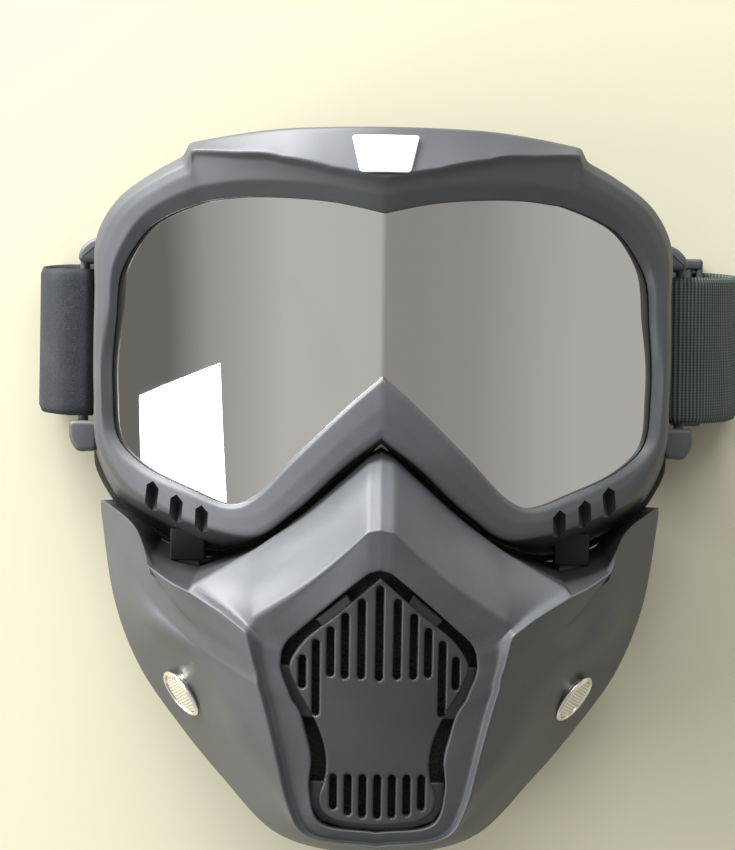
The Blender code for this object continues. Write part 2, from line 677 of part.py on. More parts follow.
def mask_stations():
    """The mask's stations, with the vent wall's foot before them and the inner surface after them.

    The inner surface lies straight under the sloping panels, and moves sideways behind the steep ones.
    """
    outer = both_sides(smooth_path(MASK_CUTS, MASK_CORNERS, MASK_STEPS))
    count = len(outer)
    from_nose = np.minimum(np.arange(count), count - np.arange(count))
    steep = np.clip((from_nose - MASK_WING * MASK_STEPS) / 4, 0.0, 1.0)[:, None]
    edge_in = mitred_inward(outer[:, 5])
    edge_in[:, 0] = -np.sign(outer[:, 5, 0]) * np.maximum(0.0, -np.sign(outer[:, 5, 0]) * edge_in[:, 0])
    walled = np.clip((outer[:, 5, 2:] - outer[:, 6, 2:] - SHELL_THICK) / 10.0, 0.0, 1.0)

    def under(row, sideways, down):
        return outer[:, row] + edge_in * sideways - np.array([[0, 0, 1]]) * down

    inner = [
        under(6, SHELL_THICK * walled, 0.5 * (1 - walled)),
        under(5, SHELL_THICK * walled, 3.6 - 1.4 * walled),
        under(4, 2.0 * steep, 3.8),
        under(3, 0.9 * steep, 3.6),
        under(1, 0, 3.0),
    ]
    foot = outer[:, 0] - (0, 0, VENT_WALL)
    return np.concatenate([foot[:, None], outer, np.stack(inner, axis=1)], axis=1)


def make_mask_shell(plastic, parent):
    """The mask's shell with its vent opening, side vent holes and the two tongues that hold it to the frame."""
    stations = mask_stations()
    shell = ring_solid("mask_shell", rounded_profile(stations, MASK_RADII), plastic, parent)
    for side in (1, -1):
        centre = np.array(EYELET_CENTRE) * (side, 1, 1)
        axis = np.array(EYELET_NORMAL) * (side, 1, 1)
        bore = rod(f"side vent bore {side}", centre - axis * 12, centre + axis * 12, EYELET_TUBE + GAP, 20)
        boolean(shell, bore, "DIFFERENCE")
        half = TONGUE_WIDTH / 2
        x = side * TONGUE_X
        low = (x - half, TONGUE_ROOT_Y, TONGUE_Z)
        tongue = box(f"tongue {side}", low, (x + half, TONGUE_TIP_Y, TONGUE_Z + TONGUE_THICK))
        post = box(f"post {side}", low, (x + half, TONGUE_ROOT_Y + TONGUE_THICK, TONGUE_TOP_Z))
        boolean(shell, tongue, "UNION")
        boolean(shell, post, "UNION")
    return shell


def make_side_vents(steel, parent):
    """A flanged eyelet in each cheek with a mesh disc across it."""
    flange = [
        (EYELET_BORE, 2.3),
        (EYELET_RADIUS - 1.0, 2.5),
        (EYELET_RADIUS, 1.7),
        (EYELET_TUBE, 1.5),
        (EYELET_TUBE, -3.6),
        (EYELET_BORE, -3.6),
    ]
    for name, side in (("left", 1), ("right", -1)):
        centre = np.array(EYELET_CENTRE) * (side, 1, 1)
        axis = np.array(EYELET_NORMAL) * (side, 1, 1)
        turned_ring(f"side_vent_ring_{name}", flange, centre, axis, 32, steel, parent)
        disc = rod(f"side_vent_mesh_{name}", centre - axis, centre - axis * 0.4, EYELET_BORE - GAP, 24, steel)
        disc.parent = parent


def vent_plate(name, outline, top, thick, material=None, parent=None):
    """A plate parallel to the vent panel, this far below it, cut to an outline in X and Y."""
    across, along = np.meshgrid(np.linspace(-30, 30, 10), np.linspace(-97, -15, 5), indexing="ij")
    surface = np.stack([across, along, vent_z(across, along) - top], axis=-1)
    plate = sheet_solid(name, surface, surface - (0, 0, thick), material, parent)
    boolean(plate, prism(f"{name} outline", outline, 40, 130), "INTERSECT")
    return plate


def both_halves(half_outline):
    """The whole of an outline that is given at x >= 0."""
    half = np.array(half_outline, float)
    return np.concatenate([half, half[-2:0:-1] * (-1, 1)])


def slot_outline(x, top, low):
    """A slot with round ends."""
    radius = SLOT_WIDTH / 2
    turn = np.linspace(0, math.pi, 5)
    upper = np.column_stack([x + radius * np.cos(turn), top - radius + radius * np.sin(turn)])
    lower = np.column_stack([x - radius * np.cos(turn), low + radius - radius * np.sin(turn)])
    return np.concatenate([upper, lower])


def make_grille(plastic, parent):
    """The slotted plate in the vent, with the strips under its edge that reach the vent's wall."""
    grille = vent_plate("vent_grille", both_halves(GRILLE_OUTLINE), GRILLE_SINK, GRILLE_THICK, plastic, parent)
    for number, outline in enumerate(BRIDGES):
        crosses_middle = min(x for x, _ in outline) < 0
        for side in (1,) if crosses_middle else (1, -1):
            placed = np.array(outline) * (side, 1)
            strip = vent_plate(f"bridge {number} {side}", placed, BRIDGE_SINK, BRIDGE_THICK)
            boolean(grille, strip, "UNION")
    for number, (x, top, low) in enumerate(UPPER_SLOTS + LOWER_SLOTS):
        for side in (1,) if x == 0 else (1, -1):
            slot = prism(f"slot {number} {side}", slot_outline(side * x, top, low), 40, 130)
            boolean(grille, slot, "DIFFERENCE")
    return grille


def make_filter(foam, plastic, parent):
    """The filter foam behind the grille and the retainer behind it, which pulls back to free it."""
    outline = both_halves(VENT_OUTLINE)
    foam_top = VENT_WALL + 2 * GAP
    pivot = bpy.data.objects.new("filter_slide", None)
    bpy.context.scene.collection.objects.link(pivot)
    pivot.location = (0, -55 * MM, 80 * MM)
    pivot.parent = parent
    vent_plate("filter_foam", outline, foam_top, FILTER_THICK, foam, pivot)
    retainer = vent_plate(
        "filter_retainer", outline, foam_top + FILTER_THICK + GAP, RETAINER_THICK, plastic, pivot
    )
    for number, (width, top, low) in enumerate(RETAINER_WINDOWS):
        for side in (1, -1):
            edges = sorted((side * 1.5, side * width))
            window = box(f"window {number} {side}", (edges[0], low, 40), (edges[1], top, 130))
            boolean(retainer, window, "DIFFERENCE")
    return retainer


for old in list(bpy.data.objects):
    bpy.data.objects.remove(old)

black = plain_material("matt_black_plastic", (0.02, 0.022, 0.024), 0.45)
mirror = plain_material("mirror_lens", (0.62, 0.62, 0.63), 0.05, 1.0)
rubber = plain_material("black_rubber", (0.015, 0.015, 0.016), 0.7)
foam = plain_material("black_foam", (0.012, 0.012, 0.013), 0.95)
fleece = plain_material("black_fleece", (0.02, 0.02, 0.02), 1.0)
white = plain_material("white_badge", (0.75, 0.76, 0.78), 0.35)
webbing = plain_material("black_webbing", (0.02, 0.02, 0.021), 0.9)
steel = plain_material("polished_steel", (0.7, 0.69, 0.66), 0.2, 1.0)

make_frame(black)
make_lens(mirror)
make_soft_rings(rubber, foam, fleece)
make_vent_foams(foam)
make_badge(white)
make_strap(webbing)
make_adjusters(black)

mask = bpy.data.objects.new("mask_pull", None)
bpy.context.scene.collection.objects.link(mask)
make_mask_shell(black, mask)
make_side_vents(steel, mask)
make_grille(black, mask)
make_filter(foam, black, mask)
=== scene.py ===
"""Looks of a pair of riding goggles with a clip-on face mask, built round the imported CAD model.

+X is the wearer's left, +Y runs from the chin to the forehead and +Z out of the face. Shapes are
worked out in millimetres and turned into metres when their mesh is made.
"""

import logging
import math
from collections.abc import Callable, Sequence
from dataclasses import dataclass
from enum import Enum
from typing import Any

import bmesh
import bpy
import numpy as np
from mathutils import Matrix, Vector

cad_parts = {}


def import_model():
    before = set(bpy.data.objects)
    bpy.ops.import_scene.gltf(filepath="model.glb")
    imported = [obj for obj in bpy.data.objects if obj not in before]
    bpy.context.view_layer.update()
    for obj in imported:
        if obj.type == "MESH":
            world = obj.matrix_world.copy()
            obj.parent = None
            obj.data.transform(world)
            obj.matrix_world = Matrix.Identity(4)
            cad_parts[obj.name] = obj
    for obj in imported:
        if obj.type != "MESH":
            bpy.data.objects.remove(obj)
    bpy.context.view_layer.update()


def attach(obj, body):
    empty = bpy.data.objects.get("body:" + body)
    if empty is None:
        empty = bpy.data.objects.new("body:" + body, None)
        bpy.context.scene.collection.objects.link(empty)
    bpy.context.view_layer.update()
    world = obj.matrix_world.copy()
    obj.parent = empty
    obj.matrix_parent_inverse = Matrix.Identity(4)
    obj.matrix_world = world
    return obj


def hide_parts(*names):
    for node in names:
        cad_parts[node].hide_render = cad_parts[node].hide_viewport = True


MM = 0.001
UV_NAME = "cloth"
TONGUE_X = 55.5  # how far the mask's tongues and their sockets stand from the middle
CREASE = 50.0  # degrees between faces, over which an edge shows sharp
SNAP = 0.62  # share of a grid step within which a point slides onto an outline
LOG = logging.getLogger("goggles")

Array = np.ndarray
Point = tuple[float, ...]
Field = Callable[[Array, Array], Array]


class Side(Enum):
    """A side of the wearer, with the sign of its X."""

    LEFT = 1
    RIGHT = -1

    @property
    def word(self) -> str:
        """The side's name as the CAD nodes spell it."""
        return self.name.lower()


class Body(Enum):
    """A moving body of the CAD model."""

    GOGGLES = "goggles"
    MASK = "mask"
    FILTER = "filter"
    ADJUSTER_LEFT = "adjuster_left"
    ADJUSTER_RIGHT = "adjuster_right"


class Slot(Enum):
    """A material slot of the record."""

    PLASTIC = "satin_black"
    LENS = "mirror_lens"
    RUBBER = "black_rubber"
    FOAM = "black_foam"
    FLEECE = "black_fleece"
    BADGE = "silver_white"
    WEBBING = "black_webbing"
    STEEL = "polished_steel"


class Face(Enum):
    """Which face of the strap's webbing a piece shows."""

    LOOP_PILE = "loop pile"
    RIBBED = "ribbed weave"


# ---------------------------------------------------------------- surfaces


def smooth_run(points: Sequence[Any], sharp: Sequence[int], per_span: int) -> Array:
    """A cubic Hermite curve through the points along axis 0, with a corner at each sharp one.

    Between two points it is h00 p0 + h10 m0 + h01 p1 + h11 m1, and the slopes m blend the chords beside
    a point in inverse proportion to their lengths.

    Args:
        points: the points, or rows of points, that the curve goes through.
        sharp: numbers of the points where the slope jumps.
        per_span: how many steps each span gets.

    Returns:
        The finer points, in the same form.
    """
    points = np.asarray(points, float)
    shape = (-1,) + (1,) * (points.ndim - 1)
    steps = np.diff(points, axis=0)
    chord = np.linalg.norm(steps.reshape(len(steps), -1), axis=1).reshape(shape) + 1e-9
    straight = steps / chord
    blended = (straight[1:] * chord[:-1] + straight[:-1] * chord[1:]) / (chord[1:] + chord[:-1])
    leaving = np.concatenate([straight[:1], blended])
    arriving = np.concatenate([blended, straight[-1:]])
    for k in sharp:
        leaving[k] = straight[k]
        arriving[k - 1] = straight[k - 1]
    t = (np.arange(per_span) / per_span).reshape((1, -1) + shape[1:])
    t2, t3 = t * t, t * t * t
    spans = (
        (2 * t3 - 3 * t2 + 1) * points[:-1, None]
        + (t3 - 2 * t2 + t) * (leaving * chord)[:, None]
        + (3 * t2 - 2 * t3) * points[1:, None]
        + (t3 - t2) * (arriving * chord)[:, None]
    )
    return np.concatenate([spans.reshape((-1,) + points.shape[1:]), points[-1:]])


def eased_corners(grid: Array, shape: "FrameShape | MaskShell") -> Array:
    """Rounds the creases across a looped grid, on both sides of the middle.

    The row at each of the shape's corners moves half way to its neighbours' mean.
    """
    eased = grid.copy()
    for corner in shape.corners:
        for k in (corner * shape.steps, len(grid) - corner * shape.steps):
            eased[k] = 0.5 * grid[k] + 0.25 * (grid[k - 1] + grid[(k + 1) % len(grid)])
    return eased


def rounded_loop(
    points: Array, radii: Sequence[float], arc: int = 5, shares: Sequence[float] = (0.1, 0.5, 0.9)
) -> Array:
    """Rounds the corners of closed sections and adds points along the straight runs between them.

    A corner is the parabola (1-s)^2 a + 2s(1-s) corner + s^2 b, between points a and b on its two edges.

    Args:
        points: sections by corners by XYZ.
        radii: how far each corner's rounding reaches along its edges.
        arc: steps in each rounding.
        shares: where the points of a straight run lie, as shares of it.

    Returns:
        Sections by points by XYZ.
    """
    count = points.shape[1]
    before, after = np.roll(points, 1, axis=1), np.roll(points, -1, axis=1)
    reach = np.asarray(radii, float)[None, :, None]

    def toward(other: Array) -> Array:
        length = np.linalg.norm(other - points, axis=2, keepdims=True) + 1e-9
        return points + (other - points) * np.minimum(0.45, reach / length)

    start, end = toward(before), toward(after)
    s = np.linspace(0, 1, arc + 1)[None, :, None]
    columns = []
    for k in range(count):
        if radii[k]:
            leaving, arriving = (1 - s) ** 2 * start[:, k, None], s**2 * end[:, k, None]
            columns.append(leaving + 2 * s * (1 - s) * points[:, k, None] + arriving)
        else:
            columns.append(points[:, k, None])
        run = np.asarray(shares, float)[None, :, None]
        columns.append(end[:, k, None] + (start[:, (k + 1) % count, None] - end[:, k, None]) * run)
    return np.concatenate(columns, axis=1)


def both_sides(half: Array) -> Array:
    """Stations from the top middle round to the bottom middle, followed by their mirror images."""
    other = half[1:-1][::-1].copy()
    other[..., 0] *= -1
    return np.concatenate([half, other])


def ring_faces(rows: int, columns: int) -> Array:
    """Corners of the faces of a grid that is a loop both ways."""
    index = np.arange(rows * columns).reshape(rows, columns)
    right, down = np.roll(index, -1, axis=1), np.roll(index, -1, axis=0)
    return np.stack([index, right, np.roll(down, -1, axis=1), down], axis=-1).reshape(-1, 4)


def sheet_faces(rows: int, columns: int) -> Array:
    """Corners of the faces of an open grid."""
    index = np.arange(rows * columns).reshape(rows, columns)
    return np.stack([index[:-1, :-1], index[:-1, 1:], index[1:, 1:], index[1:, :-1]], -1).reshape(-1, 4)


def shade(mesh: bpy.types.Mesh, crease: float) -> None:
    """Shows the mesh smooth but for edges over so many degrees."""
    mesh.shade_smooth()
    mesh.set_sharp_from_angle(angle=math.radians(crease))


def make_mesh(
    name: str, points: Array, faces: list, uv: Array | None = None, crease: float = CREASE
) -> bpy.types.Mesh:
    """A mesh from points in millimetres, with its faces turned outwards and its round parts smooth.

    Args:
        name: the mesh's name.
        points: any grid of XYZ.
        faces: the corners of each face.
        uv: one UV pair for each point, in metres along the cloth, or None.
        crease: the angle in degrees over which an edge is shown sharp.

    Returns:
        The mesh.
    """
    mesh = bpy.data.meshes.new(name)
    mesh.from_pydata((np.asarray(points).reshape(-1, 3) * MM).tolist(), [], faces)
    if uv is not None:
        corners = np.empty(len(mesh.loops), np.int32)
        mesh.loops.foreach_get("vertex_index", corners)
        mesh.uv_layers.new(name=UV_NAME).data.foreach_set(
            "uv", uv.reshape(-1, 2)[corners].astype(np.float32).ravel()
        )
    built = bmesh.new()
    built.from_mesh(mesh)
    bmesh.ops.recalc_face_normals(built, faces=built.faces)
    built.to_mesh(mesh)
    built.free()
    shade(mesh, crease)
    return mesh


def linked(name: str, data: bpy.types.ID) -> bpy.types.Object:
    """An object of a mesh, a light or a camera, in the scene."""
    made = bpy.data.objects.new(name, data)
    bpy.context.scene.collection.objects.link(made)
    return made


def place(
    mesh: bpy.types.Mesh,
    body: Body | None,
    finish: bpy.types.Material,
    stands_for: Sequence[str] = (),
) -> bpy.types.Object:
    """Makes a piece of a mesh and hangs it on its body.

    Args:
        mesh: the mesh, in the row frame.
        body: the CAD body that it rides on, or None for a helper.
        finish: its material.
        stands_for: the CAD nodes that it replaces.

    Returns:
        The piece.
    """
    piece = linked(mesh.name, mesh)
    mesh.materials.append(finish)
    if body is not None:
        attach(piece, body.value)
    if stands_for:
        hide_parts(*stands_for)
    LOG.info("%s: %d faces", piece.name, len(mesh.polygons))
    return piece


def ring_mesh(name: str, grid: Array, crease: float = CREASE) -> bpy.types.Mesh:
    """A closed mesh from a grid that is a loop both ways."""
    return make_mesh(name, grid, ring_faces(*grid.shape[:2]).tolist(), crease=crease)


def tube_mesh(
    name: str, grid: Array, uv: Array | None = None, crease: float = CREASE
) -> bpy.types.Mesh:
    """A closed mesh from a grid whose columns make a loop and whose two end rows are capped."""
    rows, columns = grid.shape[:2]
    faces = ring_faces(rows, columns).reshape(rows, columns, 4)[:-1].reshape(-1, 4).tolist()
    index = np.arange(rows * columns).reshape(rows, columns)
    faces += [index[0].tolist(), index[-1][::-1].tolist()]
    return make_mesh(name, grid, faces, uv, crease)


def slab_mesh(name: str, front: Array, back: Array, crease: float = CREASE) -> bpy.types.Mesh:
    """A closed mesh between two grids of the same size, joined round their edges."""
    rows, columns = front.shape[:2]
    size = rows * columns
    a = np.arange(size).reshape(rows, columns)
    rim = np.concatenate([a[0, :-1], a[:-1, -1], a[-1, :0:-1], a[:0:-1, 0]])
    following = np.roll(rim, -1)
    wall = np.stack([rim, following, following + size, rim + size], -1)
    quads = sheet_faces(rows, columns)
    points = np.concatenate([front.reshape(-1, 3), back.reshape(-1, 3)])
    return make_mesh(name, points, np.concatenate([quads, quads + size, wall]).tolist(), crease=crease)


def joined(name: str, meshes: Sequence[bpy.types.Mesh]) -> bpy.types.Mesh:
    """One mesh that holds several closed ones."""
    built = bmesh.new()
    for mesh in meshes:
        built.from_mesh(mesh)
        bpy.data.meshes.remove(mesh)
    whole = bpy.data.meshes.new(name)
    built.to_mesh(whole)
    built.free()
    return whole


def block_mesh(
    name: str, outline: Sequence[Point], low: float, high: float, radius: float
) -> bpy.types.Mesh:
    """A block with an outline in X and Y, every edge rounded by quarter circles.

    Its rows are the outline moved inwards by r(1-cos a) and up by r sin a, so a row is a level of the block.

    Args:
        name: the mesh's name.
        outline: the corners, turning one way.
        low: the height of its underside.
        high: the height of its top.
        radius: how far the rounding reaches.

    Returns:
        The mesh.
    """
    flat = np.column_stack([np.asarray(outline, float), np.zeros(len(outline))])[None]
    loop = rounded_loop(flat, [radius * 1.4] * len(outline), 4, ())[0, :, :2]
    edge = np.roll(loop, -1, axis=0) - np.roll(loop, 1, axis=0)
    turning = np.sign(
        np.sum(loop[:, 0] * np.roll(loop[:, 1], -1) - loop[:, 1] * np.roll(loop[:, 0], -1))
    )
    inward = turning * np.column_stack([-edge[:, 1], edge[:, 0]]) / (
        np.linalg.norm(edge, axis=1, keepdims=True) + 1e-9
    )
    angle = np.linspace(0, math.pi / 2, 5)
    inset, lift = radius * (1 - np.cos(angle)), radius * (1 - np.sin(angle))
    levels = np.concatenate([low + lift[::-1], high - lift]) if high > low else np.array([low])
    insets = np.concatenate([inset[::-1], inset])
    rows = [
        np.column_stack([loop + inward * move, np.full(len(loop), level)])
        for move, level in zip(insets, levels)
    ]
    return tube_mesh(name, np.stack(rows), crease=60.0)


def turn_to(axis: Sequence[float]) -> Array:
    """The matrix that turns +Z to an axis."""
    return np.array(Vector(axis).to_track_quat("Z", "Y").to_matrix())


def full_turn(sides: int) -> Array:
    """The angles of so many even steps round a circle."""
    return np.arange(sides) * 2 * math.pi / sides


def box(x: Sequence[float], y: Sequence[float]) -> list[Point]:
    """The corners of a rectangle between two X and two Y, turning one way."""
    return [(x[0], y[0]), (x[1], y[0]), (x[1], y[1]), (x[0], y[1])]


def rod_mesh(name: str, start: Point, end: Point, radius: float, sides: int = 20) -> bpy.types.Mesh:
    """A round bar: circles of the radius about the line from start to end."""
    a, b = Vector(start), Vector(end)
    turn, angle = turn_to(b - a), full_turn(sides)
    circle = np.column_stack([np.cos(angle), np.sin(angle), np.zeros(sides)]) @ turn.T * radius
    return tube_mesh(name, np.stack([circle + np.array(a), circle + np.array(b)]))


def turned_mesh(
    name: str,
    profile: Sequence[Point],
    radii: Sequence[float],
    centre: Point,
    axis: Point,
    sides: int = 64,
) -> bpy.types.Mesh:
    """A ring: a rounded section of radii and heights turned about an axis.

    Args:
        name: the mesh's name.
        profile: the section's corners, as distance from the axis and height along it.
        radii: the rounding of each corner.
        centre: the ring's centre.
        axis: the direction of its axis.
        sides: steps in a full turn.

    Returns:
        The mesh.
    """
    turn, angle = turn_to(axis), full_turn(sides)
    flat = np.asarray(profile, float)
    loop = rounded_loop(
        np.column_stack([flat[:, 0], np.zeros(len(flat)), flat[:, 1]])[None], radii, 5, (0.5,)
    )[0]
    grid = np.stack(
        [
            np.cos(angle)[:, None] * loop[:, 0],
            np.sin(angle)[:, None] * loop[:, 0],
            np.broadcast_to(loop[:, 2], (sides, len(loop))),
        ],
        axis=-1,
    )
    return ring_mesh(name, grid @ turn.T + np.asarray(centre))


def outline_depth(x: Array, y: Array, outline: Array) -> Array:
    """How far inside a closed outline each point is: the distance to its edges, negative outside."""
    a, b = outline, np.roll(outline, -1, axis=0)
    across = b - a
    place_x, place_y = x[..., None] - a[:, 0], y[..., None] - a[:, 1]
    share = np.clip((place_x * across[:, 0] + place_y * across[:, 1]) / (across**2).sum(1), 0, 1)
    distance = np.sqrt(
        (place_x - share * across[:, 0]) ** 2 + (place_y - share * across[:, 1]) ** 2
    ).min(-1)
    level = y[..., None]
    rise = np.where(across[:, 1] == 0, 1e-9, across[:, 1])
    crosses = ((a[:, 1] > level) != (b[:, 1] > level)) & (
        x[..., None] < across[:, 0] * (level - a[:, 1]) / rise + a[:, 0]
    )
    return np.where(crosses.sum(-1) % 2 == 1, distance, -distance)


def slot_depth(x: Array, y: Array, middle: float, top: float, low: float, width: float) -> Array:
    """How far outside an upright slot with round ends each point is."""
    radius = width / 2
    past = y - np.clip(y, low + radius, top - radius)
    return np.hypot(x - middle, past) - radius


def plate_mesh(
    name: str,
    solid: Field,
    reach: tuple[Point, Point],
    top: Field,
    thick: float,
    edge: float = 0.5,
    pitch: float = 0.33,
) -> bpy.types.Mesh:
    """A plate with any outline and holes, its upper edges rounded.

    The grid's points within 0.62 of a step of the outline slide onto it along the depth's gradient, and
    what lies outside is left out. The top falls by r - sqrt(r^2 - (r-d)^2) at a depth d inside the edge.

    Args:
        name: the mesh's name.
        solid: the depth inside the plate's material at X and Y.
        reach: the lowest and highest X and Y.
        top: the height of the plate's top at X and Y.
        thick: the plate's thickness.
        edge: the radius of its upper edges.
        pitch: the grid's step.

    Returns:
        The mesh.
    """
    low, high = reach
    x, y = np.meshgrid(
        np.arange(low[0], high[0] + pitch, pitch),
        np.arange(low[1], high[1] + pitch, pitch),
        indexing="ij",
    )
    depth = solid(x, y)
    along_x, along_y = np.gradient(depth, pitch)
    near = abs(depth) < SNAP * pitch
    shift = np.where(near, depth / np.maximum(along_x**2 + along_y**2, 0.2), 0.0)
    x, y = x - along_x * shift, y - along_y * shift
    depth = np.where(near, 0.0, depth)
    kept = depth >= 0
    inside = np.clip(depth, 0, edge)
    upper = np.stack(
        [x, y, top(x, y) - (edge - np.sqrt(np.maximum(edge**2 - (edge - inside) ** 2, 0)))], -1
    )
    lower = np.stack([x, y, top(x, y) - thick], -1)
    quads = sheet_faces(*x.shape)[:, ::-1]
    held = kept.ravel()[quads]
    whole = quads[held.all(1)]
    part, missing = quads[held.sum(1) == 3], np.argmin(held[held.sum(1) == 3], axis=1)
    turned = np.stack([part[np.arange(len(part)), (missing + k) % 4] for k in (1, 2, 3)], axis=1)
    sides = [np.stack([corners, np.roll(corners, -1, 1)], -1).reshape(-1, 2) for corners in (whole, turned)]
    ends = np.concatenate(sides)
    size = x.size
    rim = ends[np.isin(ends[:, 0] * size + ends[:, 1], ends[:, 1] * size + ends[:, 0], invert=True)]
    wall = np.stack([rim[:, 0], rim[:, 0] + size, rim[:, 1] + size, rim[:, 1]], -1)
    used = np.unique(np.concatenate([whole.ravel(), turned.ravel()]))
    number = np.zeros(2 * size, np.int64)
    number[used] = np.arange(len(used))
    number[used + size] = np.arange(len(used)) + len(used)
    faces = number[whole].tolist() + number[turned].tolist() + number[whole[:, ::-1] + size].tolist()
    faces += number[turned[:, ::-1] + size].tolist() + number[wall].tolist()
    points = np.concatenate([upper.reshape(-1, 3)[used], lower.reshape(-1, 3)[used]])
    return make_mesh(name, points, faces, crease=60.0)


def cut(piece: bpy.types.Object, cutter: bpy.types.Mesh) -> None:
    """Cuts one closed mesh out of another for good, and removes the cutter."""
    tool = linked("cutter", cutter)
    change = piece.modifiers.new("cut", "BOOLEAN")
    change.operation, change.object, change.solver = "DIFFERENCE", tool, "EXACT"
    shown = piece.evaluated_get(bpy.context.evaluated_depsgraph_get())
    fresh = bpy.data.meshes.new_from_object(shown)
    piece.modifiers.clear()
    old = piece.data
    piece.data = fresh
    bpy.data.meshes.remove(old)
    fresh.name = piece.name
    bpy.data.objects.remove(tool)
    shade(fresh, CREASE)


def hull_mesh(name: str, points: Array) -> bpy.types.Mesh:
    """The convex hull of some points in millimetres."""
    built = bmesh.new()
    for point in points * MM:
        built.verts.new(point)
    bmesh.ops.convex_hull(built, input=built.verts)
    bmesh.ops.recalc_face_normals(built, faces=built.faces)
    mesh = bpy.data.meshes.new(name)
    built.to_mesh(mesh)
    built.free()
    return mesh


# ---------------------------------------------------------------- finishes


class Wire:
    """A socket's value in a material. Arithmetic on it adds Math nodes."""

    def __init__(self, graph: "Graph", socket: bpy.types.NodeSocket) -> None:
        """Keeps the socket and the graph that it belongs to."""
        self.graph, self.socket = graph, socket

    def _math(self, operation: str, *values: Any) -> "Wire":
        """A Math node over this value and others."""
        return self.graph.node("ShaderNodeMath", {"operation": operation}, dict(enumerate(values)))

    def __add__(self, other: Any) -> "Wire":
        """The sum."""
        return self._math("ADD", self, other)

    def __sub__(self, other: Any) -> "Wire":
        """The difference."""
        return self._math("SUBTRACT", self, other)

    def __rsub__(self, other: Any) -> "Wire":
        """The difference, reflected."""
        return self._math("SUBTRACT", other, self)

    def __mul__(self, other: Any) -> "Wire":
        """The product."""
        return self._math("MULTIPLY", self, other)

    __radd__ = __add__
    __rmul__ = __mul__

    def over(self, low: float, high: float) -> "Wire":
        """0 below low, 1 above high and a smooth step between them."""
        limits = {"Value": self, "From Min": low, "From Max": high}
        return self.graph.node("ShaderNodeMapRange", {"interpolation_type": "SMOOTHSTEP"}, limits)

    def larger(self, other: "Wire") -> "Wire":
        """The larger of two values."""
        return self._math("MAXIMUM", self, other)

    def wave(self) -> "Wire":
        """Half of 1 + sin of this value."""
        return self._math("SINE", self) * 0.5 + 0.5


class Graph:
    """The nodes of one material."""

    def __init__(self, name: str) -> None:
        """Makes the material with its Principled shader."""
        self.material = bpy.data.materials.new(name)
        self.material.use_nodes = True
        self.tree = self.material.node_tree
        self.shader = self.tree.nodes["Principled BSDF"]

    def node(
        self,
        kind: str,
        settings: dict[str, Any] | None = None,
        sockets: dict[Any, Any] | None = None,
        out: Any = 0,
    ) -> Wire:
        """Adds a node.

        Args:
            kind: the node's type.
            settings: its properties, set before its sockets.
            sockets: a value or a Wire for each socket, by name or number.
            out: which output to hand back.

        Returns:
            The output, as a Wire.
        """
        made = self.tree.nodes.new(kind)
        for key, value in (settings or {}).items():
            setattr(made, key, value)
        for key, value in (sockets or {}).items():
            if isinstance(value, Wire):
                self.tree.links.new(value.socket, made.inputs[key])
            else:
                made.inputs[key].default_value = value
        return Wire(self, made.outputs[out])

    def place(self) -> Wire:
        """The point's place in the row frame, in metres."""
        return self.node("ShaderNodeTexCoord", out="Object")

    def cloth(self) -> tuple[Wire, Wire]:
        """The two coordinates of the cloth's UV map, in metres."""
        spot = self.node("ShaderNodeUVMap", {"uv_map": UV_NAME})
        first = self.node("ShaderNodeSeparateXYZ", None, {0: spot})
        return first, Wire(self, first.socket.node.outputs[1])

    def noise(self, where: Wire, scale: float, detail: float = 2.0, roughness: float = 0.5) -> Wire:
        """Noise with so many features to the metre."""
        return self.node(
            "ShaderNodeTexNoise",
            None,
            {"Vector": where, "Scale": scale, "Detail": detail, "Roughness": roughness},
        )

    def cells(self, where: Wire, scale: float) -> Wire:
        """The distance to the nearest of so many scattered points to the metre."""
        return self.node(
            "ShaderNodeTexVoronoi", {"feature": "F1"}, {"Vector": where, "Scale": scale}, "Distance"
        )

    def blend(self, factor: Any, first: Any, second: Any) -> Wire:
        """A colour between two, by the factor."""
        colours = {k: (v if isinstance(v, Wire) else (*v, 1.0)) for k, v in ((6, first), (7, second))}
        return self.node("ShaderNodeMix", {"data_type": "RGBA"}, {0: factor, **colours}, 2)

    def bump(self, height: Wire, strength: float, distance: float, under: Wire | None = None) -> Wire:
        """A normal from a height, in metres, over another normal if there is one."""
        sockets: dict[Any, Any] = {"Height": height, "Strength": strength, "Distance": distance}
        if under is not None:
            sockets["Normal"] = under
        return self.node("ShaderNodeBump", None, sockets)

    def finish(self, **sockets: Any) -> bpy.types.Material:
        """Sets the shader's own sockets, spelt with _ for a space, and hands the material back."""
        for key, value in sockets.items():
            socket = self.shader.inputs[key.replace("_", " ")]
            if isinstance(value, Wire):
                self.tree.links.new(value.socket, socket)
            else:
                is_colour = isinstance(value, tuple) and len(value) == 3
                socket.default_value = (*value, 1.0) if is_colour else value
        return self.material


@dataclass(frozen=True)
class MouldedPlastic:
    """Satin black plastic with a fine moulded grain, a cloudy sheen and faint scuffs."""

    name: str
    colour: Point = (0.054, 0.056, 0.060)
    bright: Point = (0.074, 0.077, 0.083)
    roughness: float = 0.40
    grain: float = 2600.0
    grain_depth: float = 0.25

    def make(self) -> bpy.types.Material:
        """The material."""
        g = Graph(self.name)
        where = g.place()
        grain = g.noise(where, self.grain, 2.0, 0.6)
        cloud = g.noise(where, 38.0, 3.0)
        scuff = g.noise(where, 420.0, 4.0, 0.7).over(0.60, 0.74)
        colour = g.blend(
            cloud.over(0.35, 0.7) * 0.6 + grain.over(0.45, 0.7) * 0.4, self.colour, self.bright
        )
        rough = (cloud - 0.5) * 0.12 + (grain - 0.5) * 0.10 + scuff * 0.05 + self.roughness
        normal = g.bump(grain, self.grain_depth, 0.0001)
        return g.finish(Base_Color=colour, Roughness=rough, Normal=normal, Specular_IOR_Level=0.42)


